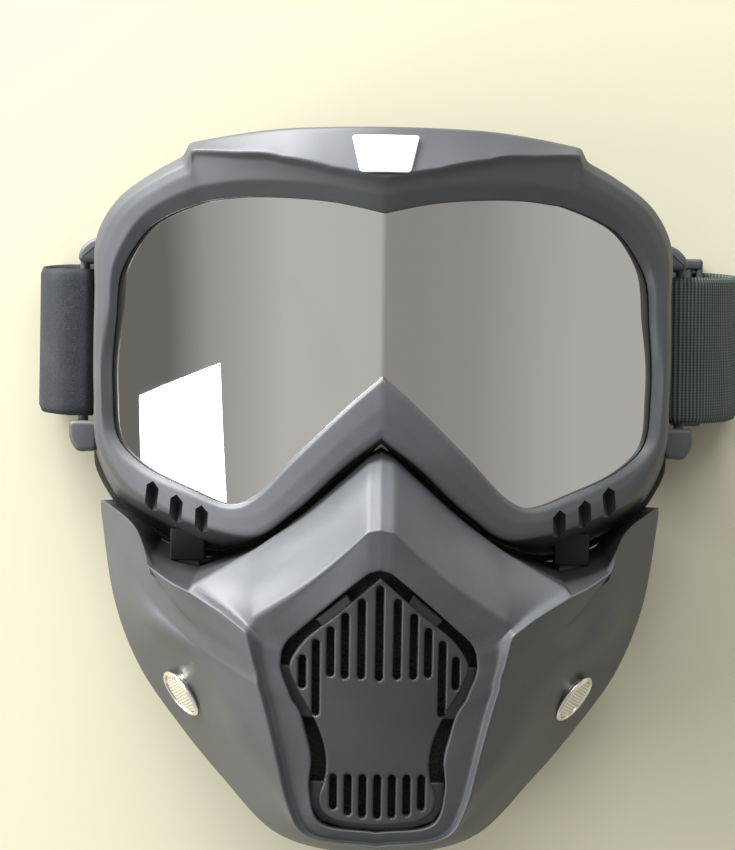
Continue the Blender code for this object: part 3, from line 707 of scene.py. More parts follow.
@dataclass(frozen=True)
class MirrorCoating:
    """The lens's mirror coating, silver with a warm cast, and a few smudges."""

    name: str = "mirror_coating"
    colour: Point = (0.66, 0.65, 0.63)

    def make(self) -> bpy.types.Material:
        """The material."""
        g = Graph(self.name)
        where = g.place()
        smudge = g.noise(where, 26.0, 4.0, 0.65).over(0.52, 0.75)
        dust = g.cells(where, 260.0).over(0.0, 0.06)
        rough = smudge * 0.035 + (1.0 - dust) * 0.10 + 0.012
        colour = g.blend(smudge * 0.35, self.colour, (0.60, 0.60, 0.60))
        return g.finish(Base_Color=colour, Roughness=rough, Metallic=1.0)


@dataclass(frozen=True)
class BadgeMetal:
    """The badge's bright satin face."""

    name: str = "badge_face"

    def make(self) -> bpy.types.Material:
        """The material."""
        g = Graph(self.name)
        where = g.place()
        streak = g.node("ShaderNodeMapping", None, {"Vector": where, "Scale": (0.12, 1.0, 1.0)})
        brushed = g.noise(streak, 2400.0, 3.0, 0.7)
        colour = g.blend(brushed, (0.86, 0.87, 0.88), (0.92, 0.93, 0.94))
        return g.finish(
            Base_Color=colour,
            Roughness=brushed * 0.12 + 0.24,
            Metallic=0.15,
            Normal=g.bump(brushed, 0.08, 0.00005),
        )


@dataclass(frozen=True)
class OpenFoam:
    """Black open-cell foam: pits between the struts, and glints of light painted on struts here and there."""

    name: str
    cells: float = 1100.0
    # how strong the painted glints on the struts are
    painted_glint: float = 0.5

    def make(self) -> bpy.types.Material:
        """The material."""
        g = Graph(self.name)
        where = g.place()
        pits = g.cells(where, self.cells)
        fine = g.noise(where, self.cells * 2.3, 3.0, 0.7)
        struts = pits.over(0.35, 0.75)
        # Painted glint: the colour turns light teal on scattered struts, standing in for glints of light on
        # them.
        painted_glint = fine.over(0.60, 0.72) * struts * self.painted_glint
        colour = g.blend(painted_glint, (0.008, 0.009, 0.009), (0.09, 0.12, 0.115))
        normal = g.bump(fine, 0.5, 0.0002, g.bump(pits, 0.9, 0.0005))
        return g.finish(Base_Color=colour, Roughness=0.9 - painted_glint * 0.5, Normal=normal)


@dataclass(frozen=True)
class Fleece:
    """The napped fleece that touches the face."""

    name: str = "fleece_nap"

    def make(self) -> bpy.types.Material:
        """The material."""
        g = Graph(self.name)
        where = g.place()
        nap = g.noise(where, 1900.0, 4.0, 0.8)
        tuft = g.noise(where, 240.0, 3.0)
        colour = g.blend(nap * tuft, (0.012, 0.012, 0.013), (0.07, 0.07, 0.075))
        return g.finish(
            Base_Color=colour,
            Roughness=0.95,
            Normal=g.bump(nap, 0.8, 0.0004),
            Sheen_Weight=0.35,
            Sheen_Roughness=0.5,
        )


@dataclass(frozen=True)
class Webbing:
    """The strap's elastic webbing. Its UV is in metres: across the strap, then along it."""

    name: str
    face: Face
    rib: float = 0.0011

    def make(self) -> bpy.types.Material:
        """The material, with loop pile or with ribs across a fine weave."""
        g = Graph(self.name)
        across, along = g.cloth()
        where = g.place()
        fuzz = g.noise(where, 2300.0, 4.0, 0.8)
        turn = 2 * math.pi / self.rib
        if self.face is Face.LOOP_PILE:
            lift = fuzz * 0.95 + (across * (turn / 1.5)).wave() * 0.05
            worn = g.noise(where, 90.0, 3.0).over(0.4, 0.75)
            colour = g.blend(
                fuzz.over(0.42, 0.68) * 0.7 + worn * 0.3, (0.010, 0.011, 0.013), (0.036, 0.040, 0.048)
            )
            depth, strength = 0.0004, 0.7
        else:
            warp, weft = (across * (turn * 1.3)).wave(), (along * turn).wave()
            lift = weft * 0.6 + warp * 0.25 + fuzz * 0.15
            # Painted shade: the colour follows the weave's height, darker in the grooves between the ribs and
            # lighter on their tops.
            colour = g.blend(lift.over(0.25, 0.9), (0.020, 0.025, 0.025), (0.095, 0.110, 0.106))
            depth, strength = 0.00035, 0.8
        return g.finish(
            Base_Color=colour,
            Roughness=0.85,
            Normal=g.bump(lift, strength, depth),
            Sheen_Weight=0.04,
            Sheen_Roughness=0.6,
            Specular_IOR_Level=0.2,
        )


@dataclass(frozen=True)
class BrightSteel:
    """Polished steel with a warm cast and fine handling marks."""

    name: str
    colour: Point = (0.84, 0.81, 0.74)
    roughness: float = 0.18

    def make(self) -> bpy.types.Material:
        """The material."""
        g = Graph(self.name)
        marks = g.noise(g.place(), 900.0, 4.0, 0.75)
        colour = g.blend(marks.over(0.4, 0.7), self.colour, tuple(c * 0.86 for c in self.colour))
        return g.finish(
            Base_Color=colour,
            Roughness=marks * 0.16 + self.roughness,
            Metallic=1.0,
            Normal=g.bump(marks, 0.05, 0.0001),
        )


@dataclass(frozen=True)
class WovenWire:
    """Fine steel mesh. Its UV is in metres across the disc, and the holes between the wires are painted dark,
    standing in for the dark, shaded inside seen through them.
    """

    name: str = "woven_wire"
    pitch: float = 0.0009

    def make(self) -> bpy.types.Material:
        """The material."""
        g = Graph(self.name)
        across, along = g.cloth()
        turn = 2 * math.pi / self.pitch
        one, two = (across * turn).wave(), (along * turn).wave()
        wire = one.larger(two)
        solid = wire.over(0.30, 0.60)
        tint = g.noise(g.place(), 300.0, 2.0)
        metal = g.blend(tint, (0.93, 0.87, 0.70), (0.86, 0.84, 0.76))
        # Painted shade: the holes between the wires get a dark colour for the shaded inside seen through
        # them.
        colour = g.blend(solid, (0.30, 0.26, 0.19), metal)
        return g.finish(
            Base_Color=colour,
            Roughness=0.6 - solid * 0.2,
            Metallic=solid * 0.5 + 0.1,
            Normal=g.bump(wire, 0.6, 0.0002),
        )


@dataclass(frozen=True)
class SoftRubberAndPaintedShade:
    """Matt black rubber of the lens's seal; the mask's sockets and its flange get it too, as painted shade
    for the dark hollow between frame and mask.
    """

    name: str = "seal_rubber_and_painted_shade"

    def make(self) -> bpy.types.Material:
        """The material."""
        g = Graph(self.name)
        bloom = g.noise(g.place(), 160.0, 4.0)
        colour = g.blend(bloom, (0.010, 0.010, 0.011), (0.022, 0.022, 0.023))
        return g.finish(
            Base_Color=colour, Roughness=bloom * 0.15 + 0.62, Normal=g.bump(bloom, 0.1, 0.0002)
        )


@dataclass(frozen=True)
class Thread:
    """The twisted thread of the strap's seams."""

    name: str = "seam_thread"

    def make(self) -> bpy.types.Material:
        """The material."""
        g = Graph(self.name)
        twist = g.noise(g.place(), 3200.0, 2.0)
        colour = g.blend(twist, (0.020, 0.020, 0.022), (0.060, 0.062, 0.066))
        return g.finish(Base_Color=colour, Roughness=0.7, Normal=g.bump(twist, 0.4, 0.0001))


class Finishes:
    """Every material of the object, each made once."""

    def __init__(self) -> None:
        """Makes them."""
        self.frame = MouldedPlastic(
            "frame_plastic", roughness=0.46, grain=3200.0, grain_depth=0.10
        ).make()
        self.mask = MouldedPlastic(
            "mask_plastic", roughness=0.46, grain=2300.0, grain_depth=0.30
        ).make()
        self.grille = MouldedPlastic(
            "grille_plastic", (0.040, 0.040, 0.041), (0.052, 0.052, 0.053), 0.36, 3400.0, 0.10
        ).make()
        self.mirror = MirrorCoating().make()
        self.badge = BadgeMetal().make()
        self.filter = OpenFoam("filter_cells", 1000.0, 0.9).make()
        self.cushion = OpenFoam("cushion_cells", 1500.0, 0.25).make()
        self.fleece = Fleece().make()
        self.pile = Webbing("webbing_pile", Face.LOOP_PILE).make()
        self.weave = Webbing("webbing_weave", Face.RIBBED).make()
        self.steel = BrightSteel("eyelet_steel").make()
        self.wire = WovenWire().make()
        # Real rubber for the lens's seal, and painted shade on the mask's sockets and flange in the hollow.
        self.rubber = SoftRubberAndPaintedShade().make()
        self.thread = Thread().make()


# ---------------------------------------------------------------- goggles


def lens_z(x: Array, y: Array) -> Array:
    """Height of the lens's face: 80 less a fold of 0.06|x|, a wrap of 0.004 x^2 and a crown in y."""
    return 80.0 - 0.06 * np.sqrt(x * x + 0.04) - 0.0040 * x * x - 0.0008 * (y - 33.0) ** 2


def face_z(x: Array, y: Array) -> Array:
    """Height of the wearer's face: a wrapped brow with a bell-shaped nose lifted out of it below."""
    below = np.clip((60.0 - y) / 40.0, 0.0, 1.0)
    return 38.8 - 0.0049 * x * x + 14.0 * np.exp(-((x / 17.0) ** 2)) * below**2 * (3 - 2 * below)


@dataclass
class FrameShape:
    """The cuts across the goggle frame, which its foam, seal and lens share.

    Each cut gives the lens's edge, the front's outer edge and the wall's rear edge as X and Y, from the
    middle of the brow round one side to the nose. The relief beside it gives the bevel's width and height
    over the lens, the share of the width where the brow plate's step starts and ends, that step's foot and
    top, and the height of the outer edge.
    """

    steps: int = 8
    cuts: tuple = (
        ((0.0, 77.6), (0.0, 101.3), (0.0, 104.0)),
        ((14.0, 80.6), (15.5, 101.3), (16.0, 104.0)),
        ((27.0, 82.0), (30.0, 101.0), (31.0, 103.6)),
        ((40.0, 82.4), (44.0, 99.7), (45.5, 102.0)),
        ((50.0, 81.6), (55.5, 98.2), (57.5, 100.3)),
        ((51.8, 81.2), (57.5, 94.5), (59.5, 96.0)),
        ((59.8, 78.6), (66.0, 90.5), (68.5, 92.5)),
        ((68.5, 73.5), (77.5, 83.0), (80.0, 85.0)),
        ((75.3, 63.5), (83.5, 73.5), (84.8, 75.0)),
        ((77.2, 48.5), (84.0, 56.0), (85.0, 58.0)),
        ((78.0, 28.0), (83.8, 27.0), (85.0, 30.0)),
        ((76.3, 14.5), (82.5, 12.5), (88.0, 12.5)),
        ((69.0, 7.0), (75.0, 0.5), (81.0, -2.5)),
        ((54.0, 0.0), (60.0, -7.5), (64.0, -14.5)),
        ((42.0, -4.0), (47.5, -11.5), (48.5, -19.0)),
        ((35.5, -1.5), (36.0, -13.0), (36.5, -16.0)),
        ((24.5, 9.5), (24.5, -6.0), (24.0, -7.0)),
        ((8.0, 25.5), (8.0, 9.0), (7.8, 7.8)),
        ((0.0, 32.5), (0.0, 15.0), (0.0, 13.8)),
    )
    relief: tuple = (
        (4.4, 5.0, 0.31, 0.37, 5.8, 8.5, 3.5),
        (4.4, 5.0, 0.34, 0.42, 5.8, 8.5, 3.5),
        (4.4, 5.0, 0.46, 0.55, 5.9, 8.5, 3.5),
        (4.4, 5.0, 0.59, 0.69, 6.0, 8.0, 3.5),
        (4.3, 5.0, 0.73, 0.84, 6.0, 7.5, 3.5),
        (4.3, 5.0, 0.55, 0.80, 5.9, 5.4, 2.8),
        (4.0, 5.0, 0.55, 0.80, 5.9, 5.4, 2.8),
        (3.5, 5.0, 0.55, 0.80, 5.8, 5.3, 2.8),
        (3.0, 4.6, 0.55, 0.80, 5.4, 5.0, 2.8),
        (2.6, 4.2, 0.55, 0.80, 5.0, 4.8, 2.8),
        (2.6, 4.2, 0.55, 0.80, 5.0, 4.8, 2.8),
        (2.2, 3.8, 0.55, 0.80, 4.6, 4.6, 2.8),
        (1.7, 3.0, 0.50, 0.82, 3.9, 3.9, 2.9),
        (1.4, 2.7, 0.50, 0.82, 3.5, 3.6, 3.0),
        *((1.2, 2.6, 0.50, 0.85, 3.3, 3.4, 3.0),) * 5,
    )
    corners: tuple = (4, 5)
    foam: float = 11.5
    fleece: float = 0.9
    gap: float = 0.8

    def __post_init__(self) -> None:
        """Works out the finer cuts."""
        cuts = both_sides(smooth_run(self.cuts, self.corners, self.steps))
        relief = smooth_run(self.relief, self.corners, self.steps)
        self.fine_relief = np.concatenate([relief, relief[1:-1][::-1]])
        self.lens_edge, self.front_edge, self.rear_edge = cuts[:, 0], cuts[:, 1], cuts[:, 2]
        across = self.front_edge - self.lens_edge
        self.width = np.linalg.norm(across, axis=1, keepdims=True)
        self.out = across / self.width
        self.rear_height = face_z(*self.rear_edge.T) + self.fleece + self.foam + 2 * self.gap

    def over_lens(self, share: Any, offset: Any, height: Any) -> Array:
        """Points at a share of the width and an offset from the lens's edge, at a height over the lens."""
        spot = self.lens_edge + self.out * (
            self.width * np.reshape(share, (-1, 1)) + np.reshape(offset, (-1, 1))
        )
        return np.column_stack([spot, lens_z(*spot.T) + height])

    def behind(self, offset: Any, height: Any) -> Array:
        """Points inside the rear edge by an offset, at a height over the wall's rear."""
        spot = self.rear_edge - self.out * offset
        return np.column_stack([spot, self.rear_height + height])

    def sections(self) -> Array:
        """The frame's section at each cut: over the front from the lens, down the wall and back inside."""
        bevel, bevel_height, foot, top, foot_height, top_height, edge_height = self.fine_relief.T
        roomy = np.clip((self.width[:, 0] - 9.0) / 5.0, 0.0, 1.0)
        roof = -7.0 + roomy * (edge_height + 3.0)
        return np.stack(
            [
                self.over_lens(0, 0, 0.3),
                self.over_lens(0, 0, 1.3),
                self.over_lens(0, bevel, bevel_height),
                self.over_lens(foot, 0, foot_height),
                self.over_lens(top, 0, top_height),
                self.over_lens(1, 0, edge_height),
                self.behind(0, 0),
                self.behind(9.0, 0),
                self.behind(9.0, 2.2),
                self.behind(3.0, 2.2),
                self.over_lens(1, -np.minimum(3.2, 0.42 * self.width[:, 0]), roof),
                self.over_lens(0, 3.5, -7.0),
                self.over_lens(0, 0.5, -6.6),
                self.over_lens(0, 0.5, -4.4),
                self.over_lens(0, 2.6, -4.4),
                self.over_lens(0, 2.6, 0.3),
            ],
            axis=1,
        )


@dataclass
class GoggleFrame:
    """The moulded frame with its vent notches, strap ears and lugs, strap bars and mask sockets."""

    shape: FrameShape
    radii: tuple = (0.15, 0.4, 0.9, 0.9, 0.8, 1.1, 1.0, 0.5, 0.5, 0.8, 0.8, 0.4, 0, 0, 0, 0)
    notches: tuple = ((65.2, -2.6, 6.0), (57.9, -6.2, 4.0), (50.4, -9.0, 2.0))
    notch_outline: tuple = (
        (-1.85, 2.6), (0.2, 4.6), (1.9, 3.4), (1.9, -4.4), (0.3, -6.4), (-1.85, -5.2)
    )
    ear: tuple = ((83.2, 66.5), (91.4, 66.5), (90.8, 70.3), (87.5, 73.3), (82.6, 74.5))
    socket: tuple = (
        (3.8, 1.3, -14.5), (3.8, 1.3, -20.6), (4.2, 1.7, -21.0), (4.7, 2.2, -21.0), (5.1, 2.6, -20.6),
        (5.1, 2.6, -11.9), (4.7, 2.2, -11.7),
    )
    lug: tuple = ((85.0, 10.0), (91.0, 9.5), (93.5, 13.5), (93.5, 19.0), (84.4, 19.0))

    def build(self, finishes: Finishes) -> list[bpy.types.Object]:
        """Makes the frame.

        Args:
            finishes: the object's materials.

        Returns:
            The pieces.
        """
        grid = eased_corners(rounded_loop(self.shape.sections(), self.radii), self.shape)
        moulding = place(
            ring_mesh("frame_moulding", grid),
            Body.GOGGLES,
            finishes.frame,
            ["goggle_frame"],
        )
        cut(moulding, joined("notches", [self._notch(s, *n) for s in Side for n in self.notches]))
        pieces = [moulding]
        for side in Side:
            pieces += self._fittings(side, finishes)
        return pieces

    def _notch(self, side: Side, x: float, y: float, lean: float) -> bpy.types.Mesh:
        """The cutter of one notch: the hull of three levels, six-sided but for a ridge at its foot."""
        turn = math.radians(lean)
        ring = np.array(self.notch_outline)
        ridge = np.array([(0.1, 1.6), (0.1, -6.0)])

        def level(flat: Array, height: float) -> Array:
            spun = flat @ np.array(
                [[math.cos(turn), math.sin(turn)], [-math.sin(turn), math.cos(turn)]]
            ) + (x, y)
            return np.column_stack([spun[:, 0] * side.value, spun[:, 1], np.full(len(flat), height)])

        face = float(lens_z(np.array(x), np.array(y))) + 3.5
        return hull_mesh(
            "notch",
            np.concatenate([level(ring, face + 8), level(ring, face - 1.8), level(ridge, face - 6.2)]),
        )

    def _fittings(self, side: Side, finishes: Finishes) -> list[bpy.types.Object]:
        """The ear, lug, strap bar and mask socket of one side."""
        s = side.value
        ear = block_mesh("ear", [(s * x, y) for x, y in self.ear], 20.0, 33.0, 1.3)
        lug = block_mesh("lug", [(s * x, y) for x, y in self.lug], 19.0, 32.0, 1.3)
        bar = rod_mesh("bar", (s * 89.8, 17.5, 27.0), (s * 89.8, 68.0, 27.0), 1.5)
        fittings = joined(f"strap_mount_{side.word}", [ear, lug, bar])
        socket = self._socket(side)
        return [
            place(fittings, Body.GOGGLES, finishes.frame),
            # Painted shade: the socket sits in the shaded hollow and gets the dark rubber material.
            place(socket, Body.GOGGLES, finishes.rubber),
        ]

    def _socket(self, side: Side) -> bpy.types.Mesh:
        """The socket that the mask's tongue slides into: a rounded square tube along Y with a closed root."""
        x, z = side.value * TONGUE_X, 51.0
        frame = [(-1, -1), (1, -1), (1, 1), (-1, 1)]

        def loop(half_x: float, half_z: float, y: float) -> Array:
            corners = np.array([[(x + a * half_x, y, z + b * half_z) for a, b in frame]])
            return rounded_loop(corners, [0.8] * 4, 4, (0.5,))[0]

        rows = [loop(*row) for row in self.socket]
        return tube_mesh(f"mask_socket_{side.word}", np.stack(rows))


@dataclass
class Lens:
    """The wrapped mirror lens with a fold down its middle, tucked into the frame's groove."""

    shape: FrameShape
    tuck: float = 2.0
    thick: float = 2.0
    end_gap: float = 0.3
    grid: tuple = (161, 41)

    def build(self, finishes: Finishes) -> list[bpy.types.Object]:
        """Makes the lens: columns of points from its lower outline to its upper one."""
        outline = self.shape.lens_edge + self.shape.out * self.tuck
        right = outline[: len(outline) // 2 + 1]
        turn = int(np.argmax(right[:, 0]))
        x = (right[turn, 0] - self.end_gap) * np.sin(np.linspace(-1, 1, self.grid[0]) * math.pi / 2)
        upper = np.interp(abs(x), right[: turn + 1, 0], right[: turn + 1, 1])
        lower = np.interp(abs(x), right[turn:, 0][::-1], right[turn:, 1][::-1])
        y = lower[:, None] + (upper - lower)[:, None] * np.linspace(0, 1, self.grid[1])
        x = np.broadcast_to(x[:, None], y.shape)
        front = np.stack([x, y, lens_z(x, y)], axis=-1)
        mesh = slab_mesh("lens_sheet", front, front - (0, 0, self.thick), crease=30.0)
        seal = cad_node("lens_seal", finishes.rubber)
        return [place(mesh, Body.GOGGLES, finishes.mirror, ["lens"]), seal]


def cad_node(name: str, finish: bpy.types.Material) -> bpy.types.Object:
    """Gives a CAD node that keeps its shape its material."""
    node = bpy.data.objects[name]
    node.data.materials.clear()
    node.data.materials.append(finish)
    return node


@dataclass
class Badge:
    """The plain badge on the brow plate: a tapered plate with round corners."""

    top: float = 98.7
    low: float = 87.9
    half_top: float = 9.4
    half_low: float = 7.0

    def _height(self, x: Array, y: Array) -> Array:
        """Height of the brow plate under the badge."""
        return lens_z(x, y) + 8.5 - 5.0 * (y - 86.5) / 14.5

    def build(self, finishes: Finishes) -> list[bpy.types.Object]:
        """Makes the badge."""
        corners = np.array(
            [
                [
                    (-self.half_low, self.low, 0),
                    (self.half_low, self.low, 0),
                    (self.half_top, self.top, 0),
                    (-self.half_top, self.top, 0),
                ]
            ],
            float,
        )
        outline = rounded_loop(corners, [1.1] * 4, 6, ())[0, :, :2]
        reach = ((-10.5, 87.0), (10.5, 99.6))

        def top(x: Array, y: Array) -> Array:
            return self._height(x, y) + 1.5

        mesh = plate_mesh(
            "badge_plate", lambda x, y: outline_depth(x, y, outline), reach, top, 1.0, 0.35, 0.22
        )
        return [place(mesh, Body.GOGGLES, finishes.badge, ["brow_badge"])]


@dataclass
class FaceCushion:
    """The foam ring on the frame's flange, the fleece on it and the foams behind the lower vents."""

    shape: FrameShape
    bulge_below: float = 14.0
    bulge_fade: float = 8.0
    bulge: tuple = (2.1, 2.4)
    ripple: float = 0.12

    def build(self, finishes: Finishes) -> list[bpy.types.Object]:
        """Makes the foam, its fleece and the two vent foams.

        The foam's outer and inner sides belly out between its faces, most of all beside the mask,
        where it closes the gap between frame and mask from below. Soft ripples run round it where
        it is cut.
        """
        shape = self.shape
        low = -shape.gap - shape.foam
        proud = np.clip((self.bulge_below - shape.rear_edge[:, 1:]) / self.bulge_fade, 0.0, 1.0)
        foam = np.stack(
            [
                shape.behind(0.9, -shape.gap),
                shape.behind(-0.1 - self.bulge[0] * proud, low * 0.30),
                shape.behind(-0.2 - self.bulge[1] * proud, low * 0.7),
                shape.behind(0.9, low),
                shape.behind(10.2, low),
                shape.behind(11.2, low * 0.7),
                shape.behind(11.1, low * 0.35),
                shape.behind(10.2, -shape.gap),
            ],
            axis=1,
        )
        ring = rounded_loop(foam, [1.2, 2.5, 2.5, 2.0, 2.0, 2.5, 2.5, 1.2], 4, (0.5,))
        place_of = np.arange(len(ring))[:, None] * 0.9
        ripple = self.ripple * np.sin(
            place_of + 0.7 * np.arange(ring.shape[1])
        ) + self.ripple * np.sin(0.37 * place_of)
        ring[..., 2] += ripple * np.clip(
            (shape.rear_height[:, None] - ring[..., 2] - 3) / 6, 0, 1
        ) * 0.6
        cushion = place(
            ring_mesh("face_cushion", ring, 80.0),
            Body.GOGGLES,
            finishes.cushion,
            ["face_foam"],
        )
        top = low - shape.gap
        lining = np.stack(
            [
                shape.behind(0.4, top + 0.3),
                shape.behind(0.9, top - 0.75),
                shape.behind(5.5, top - 0.95),
                shape.behind(10.2, top - 0.75),
                shape.behind(10.7, top + 0.3),
                shape.behind(5.5, top + 0.1),
            ],
            axis=1,
        )
        lined = ring_mesh(
            "fleece_lining", rounded_loop(lining, [0.3, 0.9, 3.0, 0.9, 0.3, 3.0], 4, (0.5,)), 80.0
        )
        fleece = place(lined, Body.GOGGLES, finishes.fleece, ["foam_fleece"])
        return [cushion, fleece] + [self._vent_foam(side, finishes) for side in Side]

    def _vent_foam(self, side: Side, finishes: Finishes) -> bpy.types.Object:
        """The thin foam behind one lower lobe's notches."""
        shape = self.shape
        first, last = 12 * shape.steps + 4, 14 * shape.steps - 4
        top = shape.over_lens(0, 4.0, -8.0)[first : last + 1]
        low = shape.behind(3.0, 3.2)[first : last + 1]
        inward = np.column_stack([-shape.out, np.zeros(len(shape.out))])[first : last + 1]
        corners = np.stack(
            [top + inward * 0.6, top + inward * 2.4, low + inward * 2.8, low + inward], axis=1
        )
        grid = rounded_loop(corners, [0.7] * 4, 4, (0.25, 0.5, 0.75)) * (side.value, 1, 1)
        piece = place(
            tube_mesh(f"vent_cushion_{side.word}", grid, crease=80.0),
            Body.GOGGLES,
            finishes.cushion,
            [f"lower_vent_foam_{side.word}"],
        )
        return piece


# ---------------------------------------------------------------- strap


@dataclass
class Strap:
    """The strap: an end looped through each ear, the band, its doubled tail and its adjusters."""

    width: float = 44.0
    thick: float = 1.8
    middle: float = 46.0
    section_points: int = 25
    stitch_pitch: float = 3.0
    stitch_margin: float = 2.0
    bar: tuple = (89.8, 27.0, 1.5)
    adjusters: tuple = ((Side.LEFT, 95.6, 109.6), (Side.RIGHT, -66.0, 104.9))

    def _line(self, fold: float, end: float) -> Array:
        """The middle line of one end: the sewn tail, an arc round the bar, out, round the fold and back."""
        bar_x, bar_z, bar_radius = self.bar
        wrap = bar_radius + 0.3 + self.thick / 2
        turns = np.radians((250, 205, 160, 115, 70))
        arc = [(bar_x + wrap * math.cos(t), 42.5, bar_z + wrap * math.sin(t)) for t in turns]
        run = [(95.0, 42.6, 28.6), (100.0, 43.0, 23.0), (103.9, 43.8, 14.0), (104.6, 44.8, 7.0)]
        shift = fold - 104.6
        points = [(95.5, 42.5, 21.6), (92.2, 42.5, 23.6), *arc]
        points += [(x + shift * k / 3, y, z) for k, (x, y, z) in enumerate(run)]
        points += [(fold - 2.4, 45.6, 2.2), (fold - 6.5, self.middle, self.thick / 2)]
        curve = smooth_run(points, (), 9)
        rest = np.linspace(curve[-1], (end, self.middle, self.thick / 2), 12)[1:]
        return np.concatenate([curve, rest])

    @staticmethod
    def _normals(line: Array) -> Array:
        """For each point of a line, the direction at right angles to it and to Y."""
        along = np.gradient(line, axis=0) * (1, 0, 1)
        return np.cross(along / np.linalg.norm(along, axis=1, keepdims=True), (0, 1, 0))

    def _band(
        self, name: str, line: Array, width: float, side: float, ripple: float = 0.0
    ) -> bpy.types.Mesh:
        """Webbing along a line: a flat section with round edges, carried at right angles to the line.

        Args:
            name: the mesh's name.
            line: the middle line.
            width: the webbing's width.
            side: 1, or -1 to mirror it in X.
            ripple: how far its free edges wander, as a sum of two sines along it.

        Returns:
            The mesh, with its UV in metres across and along.
        """
        normal = self._normals(line)
        length = np.concatenate([[0], np.cumsum(np.linalg.norm(np.diff(line, axis=0), axis=1))])
        count = self.section_points
        across = np.linspace(-1, 1, count)
        edge = np.sqrt(np.maximum(0, 1 - np.clip((abs(across) - 0.955) / 0.045, 0, 1) ** 2))
        share = np.concatenate([across, across[::-1]])
        lift = np.concatenate([edge, -edge[::-1]]) * self.thick / 2 * 0.98
        lift[[0, count - 1, count, 2 * count - 1]] = (0.12, 0.12, -0.12, -0.12)
        wander = ripple * (np.sin(length / 6.1) + 0.6 * np.sin(length / 2.7 + 1.0))[:, None] * share**2
        grid = line[:, None] + normal[:, None] * (lift + wander)[..., None]
        grid[..., 1] += share * width / 2
        uv = np.stack(
            [
                np.broadcast_to(share * width / 2, grid.shape[:2]),
                np.broadcast_to(length[:, None], grid.shape[:2]),
            ],
            -1,
        )
        return tube_mesh(name, grid * (side, 1, 1), uv * MM, 70.0)

    def _stitches(self, name: str, line: Array, side: float, spots: Sequence[int]) -> bpy.types.Mesh:
        """Rows of short stitches across the webbing, each a thin bead of six sides."""
        normal = self._normals(line)
        beads = []
        for spot in spots:
            for y in np.arange(
                -self.width / 2 + self.stitch_margin,
                self.width / 2 - self.stitch_margin,
                self.stitch_pitch,
            ):
                centre = line[spot] + (0, y, 0) + normal[spot] * self.thick / 2
                angle = full_turn(6)
                circle = np.column_stack([np.cos(angle), np.zeros(6), np.sin(angle)])
                share = np.array([(0.0, 0.08), (0.35, 0.30), (1.1, 0.34), (1.85, 0.30), (2.2, 0.08)])
                rows = centre + circle[None] * share[:, 1, None, None]
                rows = rows + np.array((0, 1, 0)) * share[:, 0, None, None]
                beads.append(tube_mesh("stitch", rows * (side, 1, 1)))
        return joined(name, beads)

    def build(self, finishes: Finishes) -> list[bpy.types.Object]:
        """Makes the strap's four lengths of webbing, its seams and its adjusters."""
        pieces = []
        for side, x, fold in self.adjusters:
            s = side.value
            line = self._line(fold, abs(x) + 0.3)
            finish = finishes.weave if side is Side.LEFT else finishes.pile
            mesh = self._band(f"strap_webbing_{side.word}", line, self.width, s, 0.12)
            end = place(mesh, Body.GOGGLES, finish, [f"strap_end_{side.word}"])
            seam = self._stitches(f"strap_seam_{side.word}", line, s, (2, 5))
            thread = place(seam, Body.GOGGLES, finishes.thread)
            pieces += [end, thread, self._adjuster(side, x, finishes)]
        ends = (self.adjusters[1][1] + 0.3, self.adjusters[0][1] - 0.3)
        pieces.append(
            self._flat("strap_back", "strap_band", ends, self.thick / 2, self.width, finishes)
        )
        over, narrow = 1.5 * self.thick + 0.3, self.width - 1.0
        pieces.append(self._flat("strap_doubled_tail", "strap_tail", (-46.0, 15.0), over, narrow, finishes))
        return pieces

    def _flat(
        self,
        name: str,
        node: str,
        ends: tuple[float, float],
        height: float,
        width: float,
        finishes: Finishes,
    ) -> bpy.types.Object:
        """A flat length of webbing along X."""
        x = np.linspace(ends[1], ends[0], 60)
        line = np.column_stack([x, np.full(60, self.middle), np.full(60, height)])
        piece = place(
            self._band(name, line, width, 1.0), Body.GOGGLES, finishes.weave, [node]
        )
        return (piece, (ends[1] - ends[0]) * MM)[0]

    def _adjuster(self, side: Side, x: float, finishes: Finishes) -> bpy.types.Object:
        """A three-bar slide: two rails beside the strap, joined by three rounded bars over it."""
        y, inner, outer = self.middle, self.width / 2 + 0.6, self.width / 2 + 4.1
        low, high = self.thick + 0.3, self.thick + 3.7
        blocks = []
        for way in (-1, 1):
            edges = sorted((y + way * inner, y + way * outer))
            blocks.append(block_mesh("rail", box((x - 4.5, x + 4.5), edges), 0.5, high, 0.9))
        for middle in (x - 3.5, x, x + 3.5):
            bar = box((middle - 1.0, middle + 1.0), (y - inner - 1, y + inner + 1))
            blocks.append(block_mesh("bar", bar, low, high - 0.3, 0.6))
        body = Body.ADJUSTER_LEFT if side is Side.LEFT else Body.ADJUSTER_RIGHT
        return place(
            joined(f"slide_buckle_{side.word}", blocks),
            body,
            finishes.frame,
            [f"strap_adjuster_{side.word}"],
        )


# ---------------------------------------------------------------- mask


def vent_z(x: Array, y: Array) -> Array:
    """Height of the mask's vent panel: a plane that leans back towards the chin, wrapped by 0.0045 x^2."""
    return 103.0 + 0.218 * (y + 19.0) - 0.0045 * x * x


def mitred_inward(loop: Array) -> Array:
    """For each point of a loop seen from +Z, the offset that moves both its edges inwards by one."""
    edges = (np.roll(loop, -1, axis=0) - loop) * (1, 1, 0)
    facing = np.cross((0, 0, -1), edges / np.linalg.norm(edges, axis=1, keepdims=True))
    both = facing + np.roll(facing, 1, axis=0)
    return 2 * both / np.maximum(2.4, np.sum(both * both, axis=1, keepdims=True))


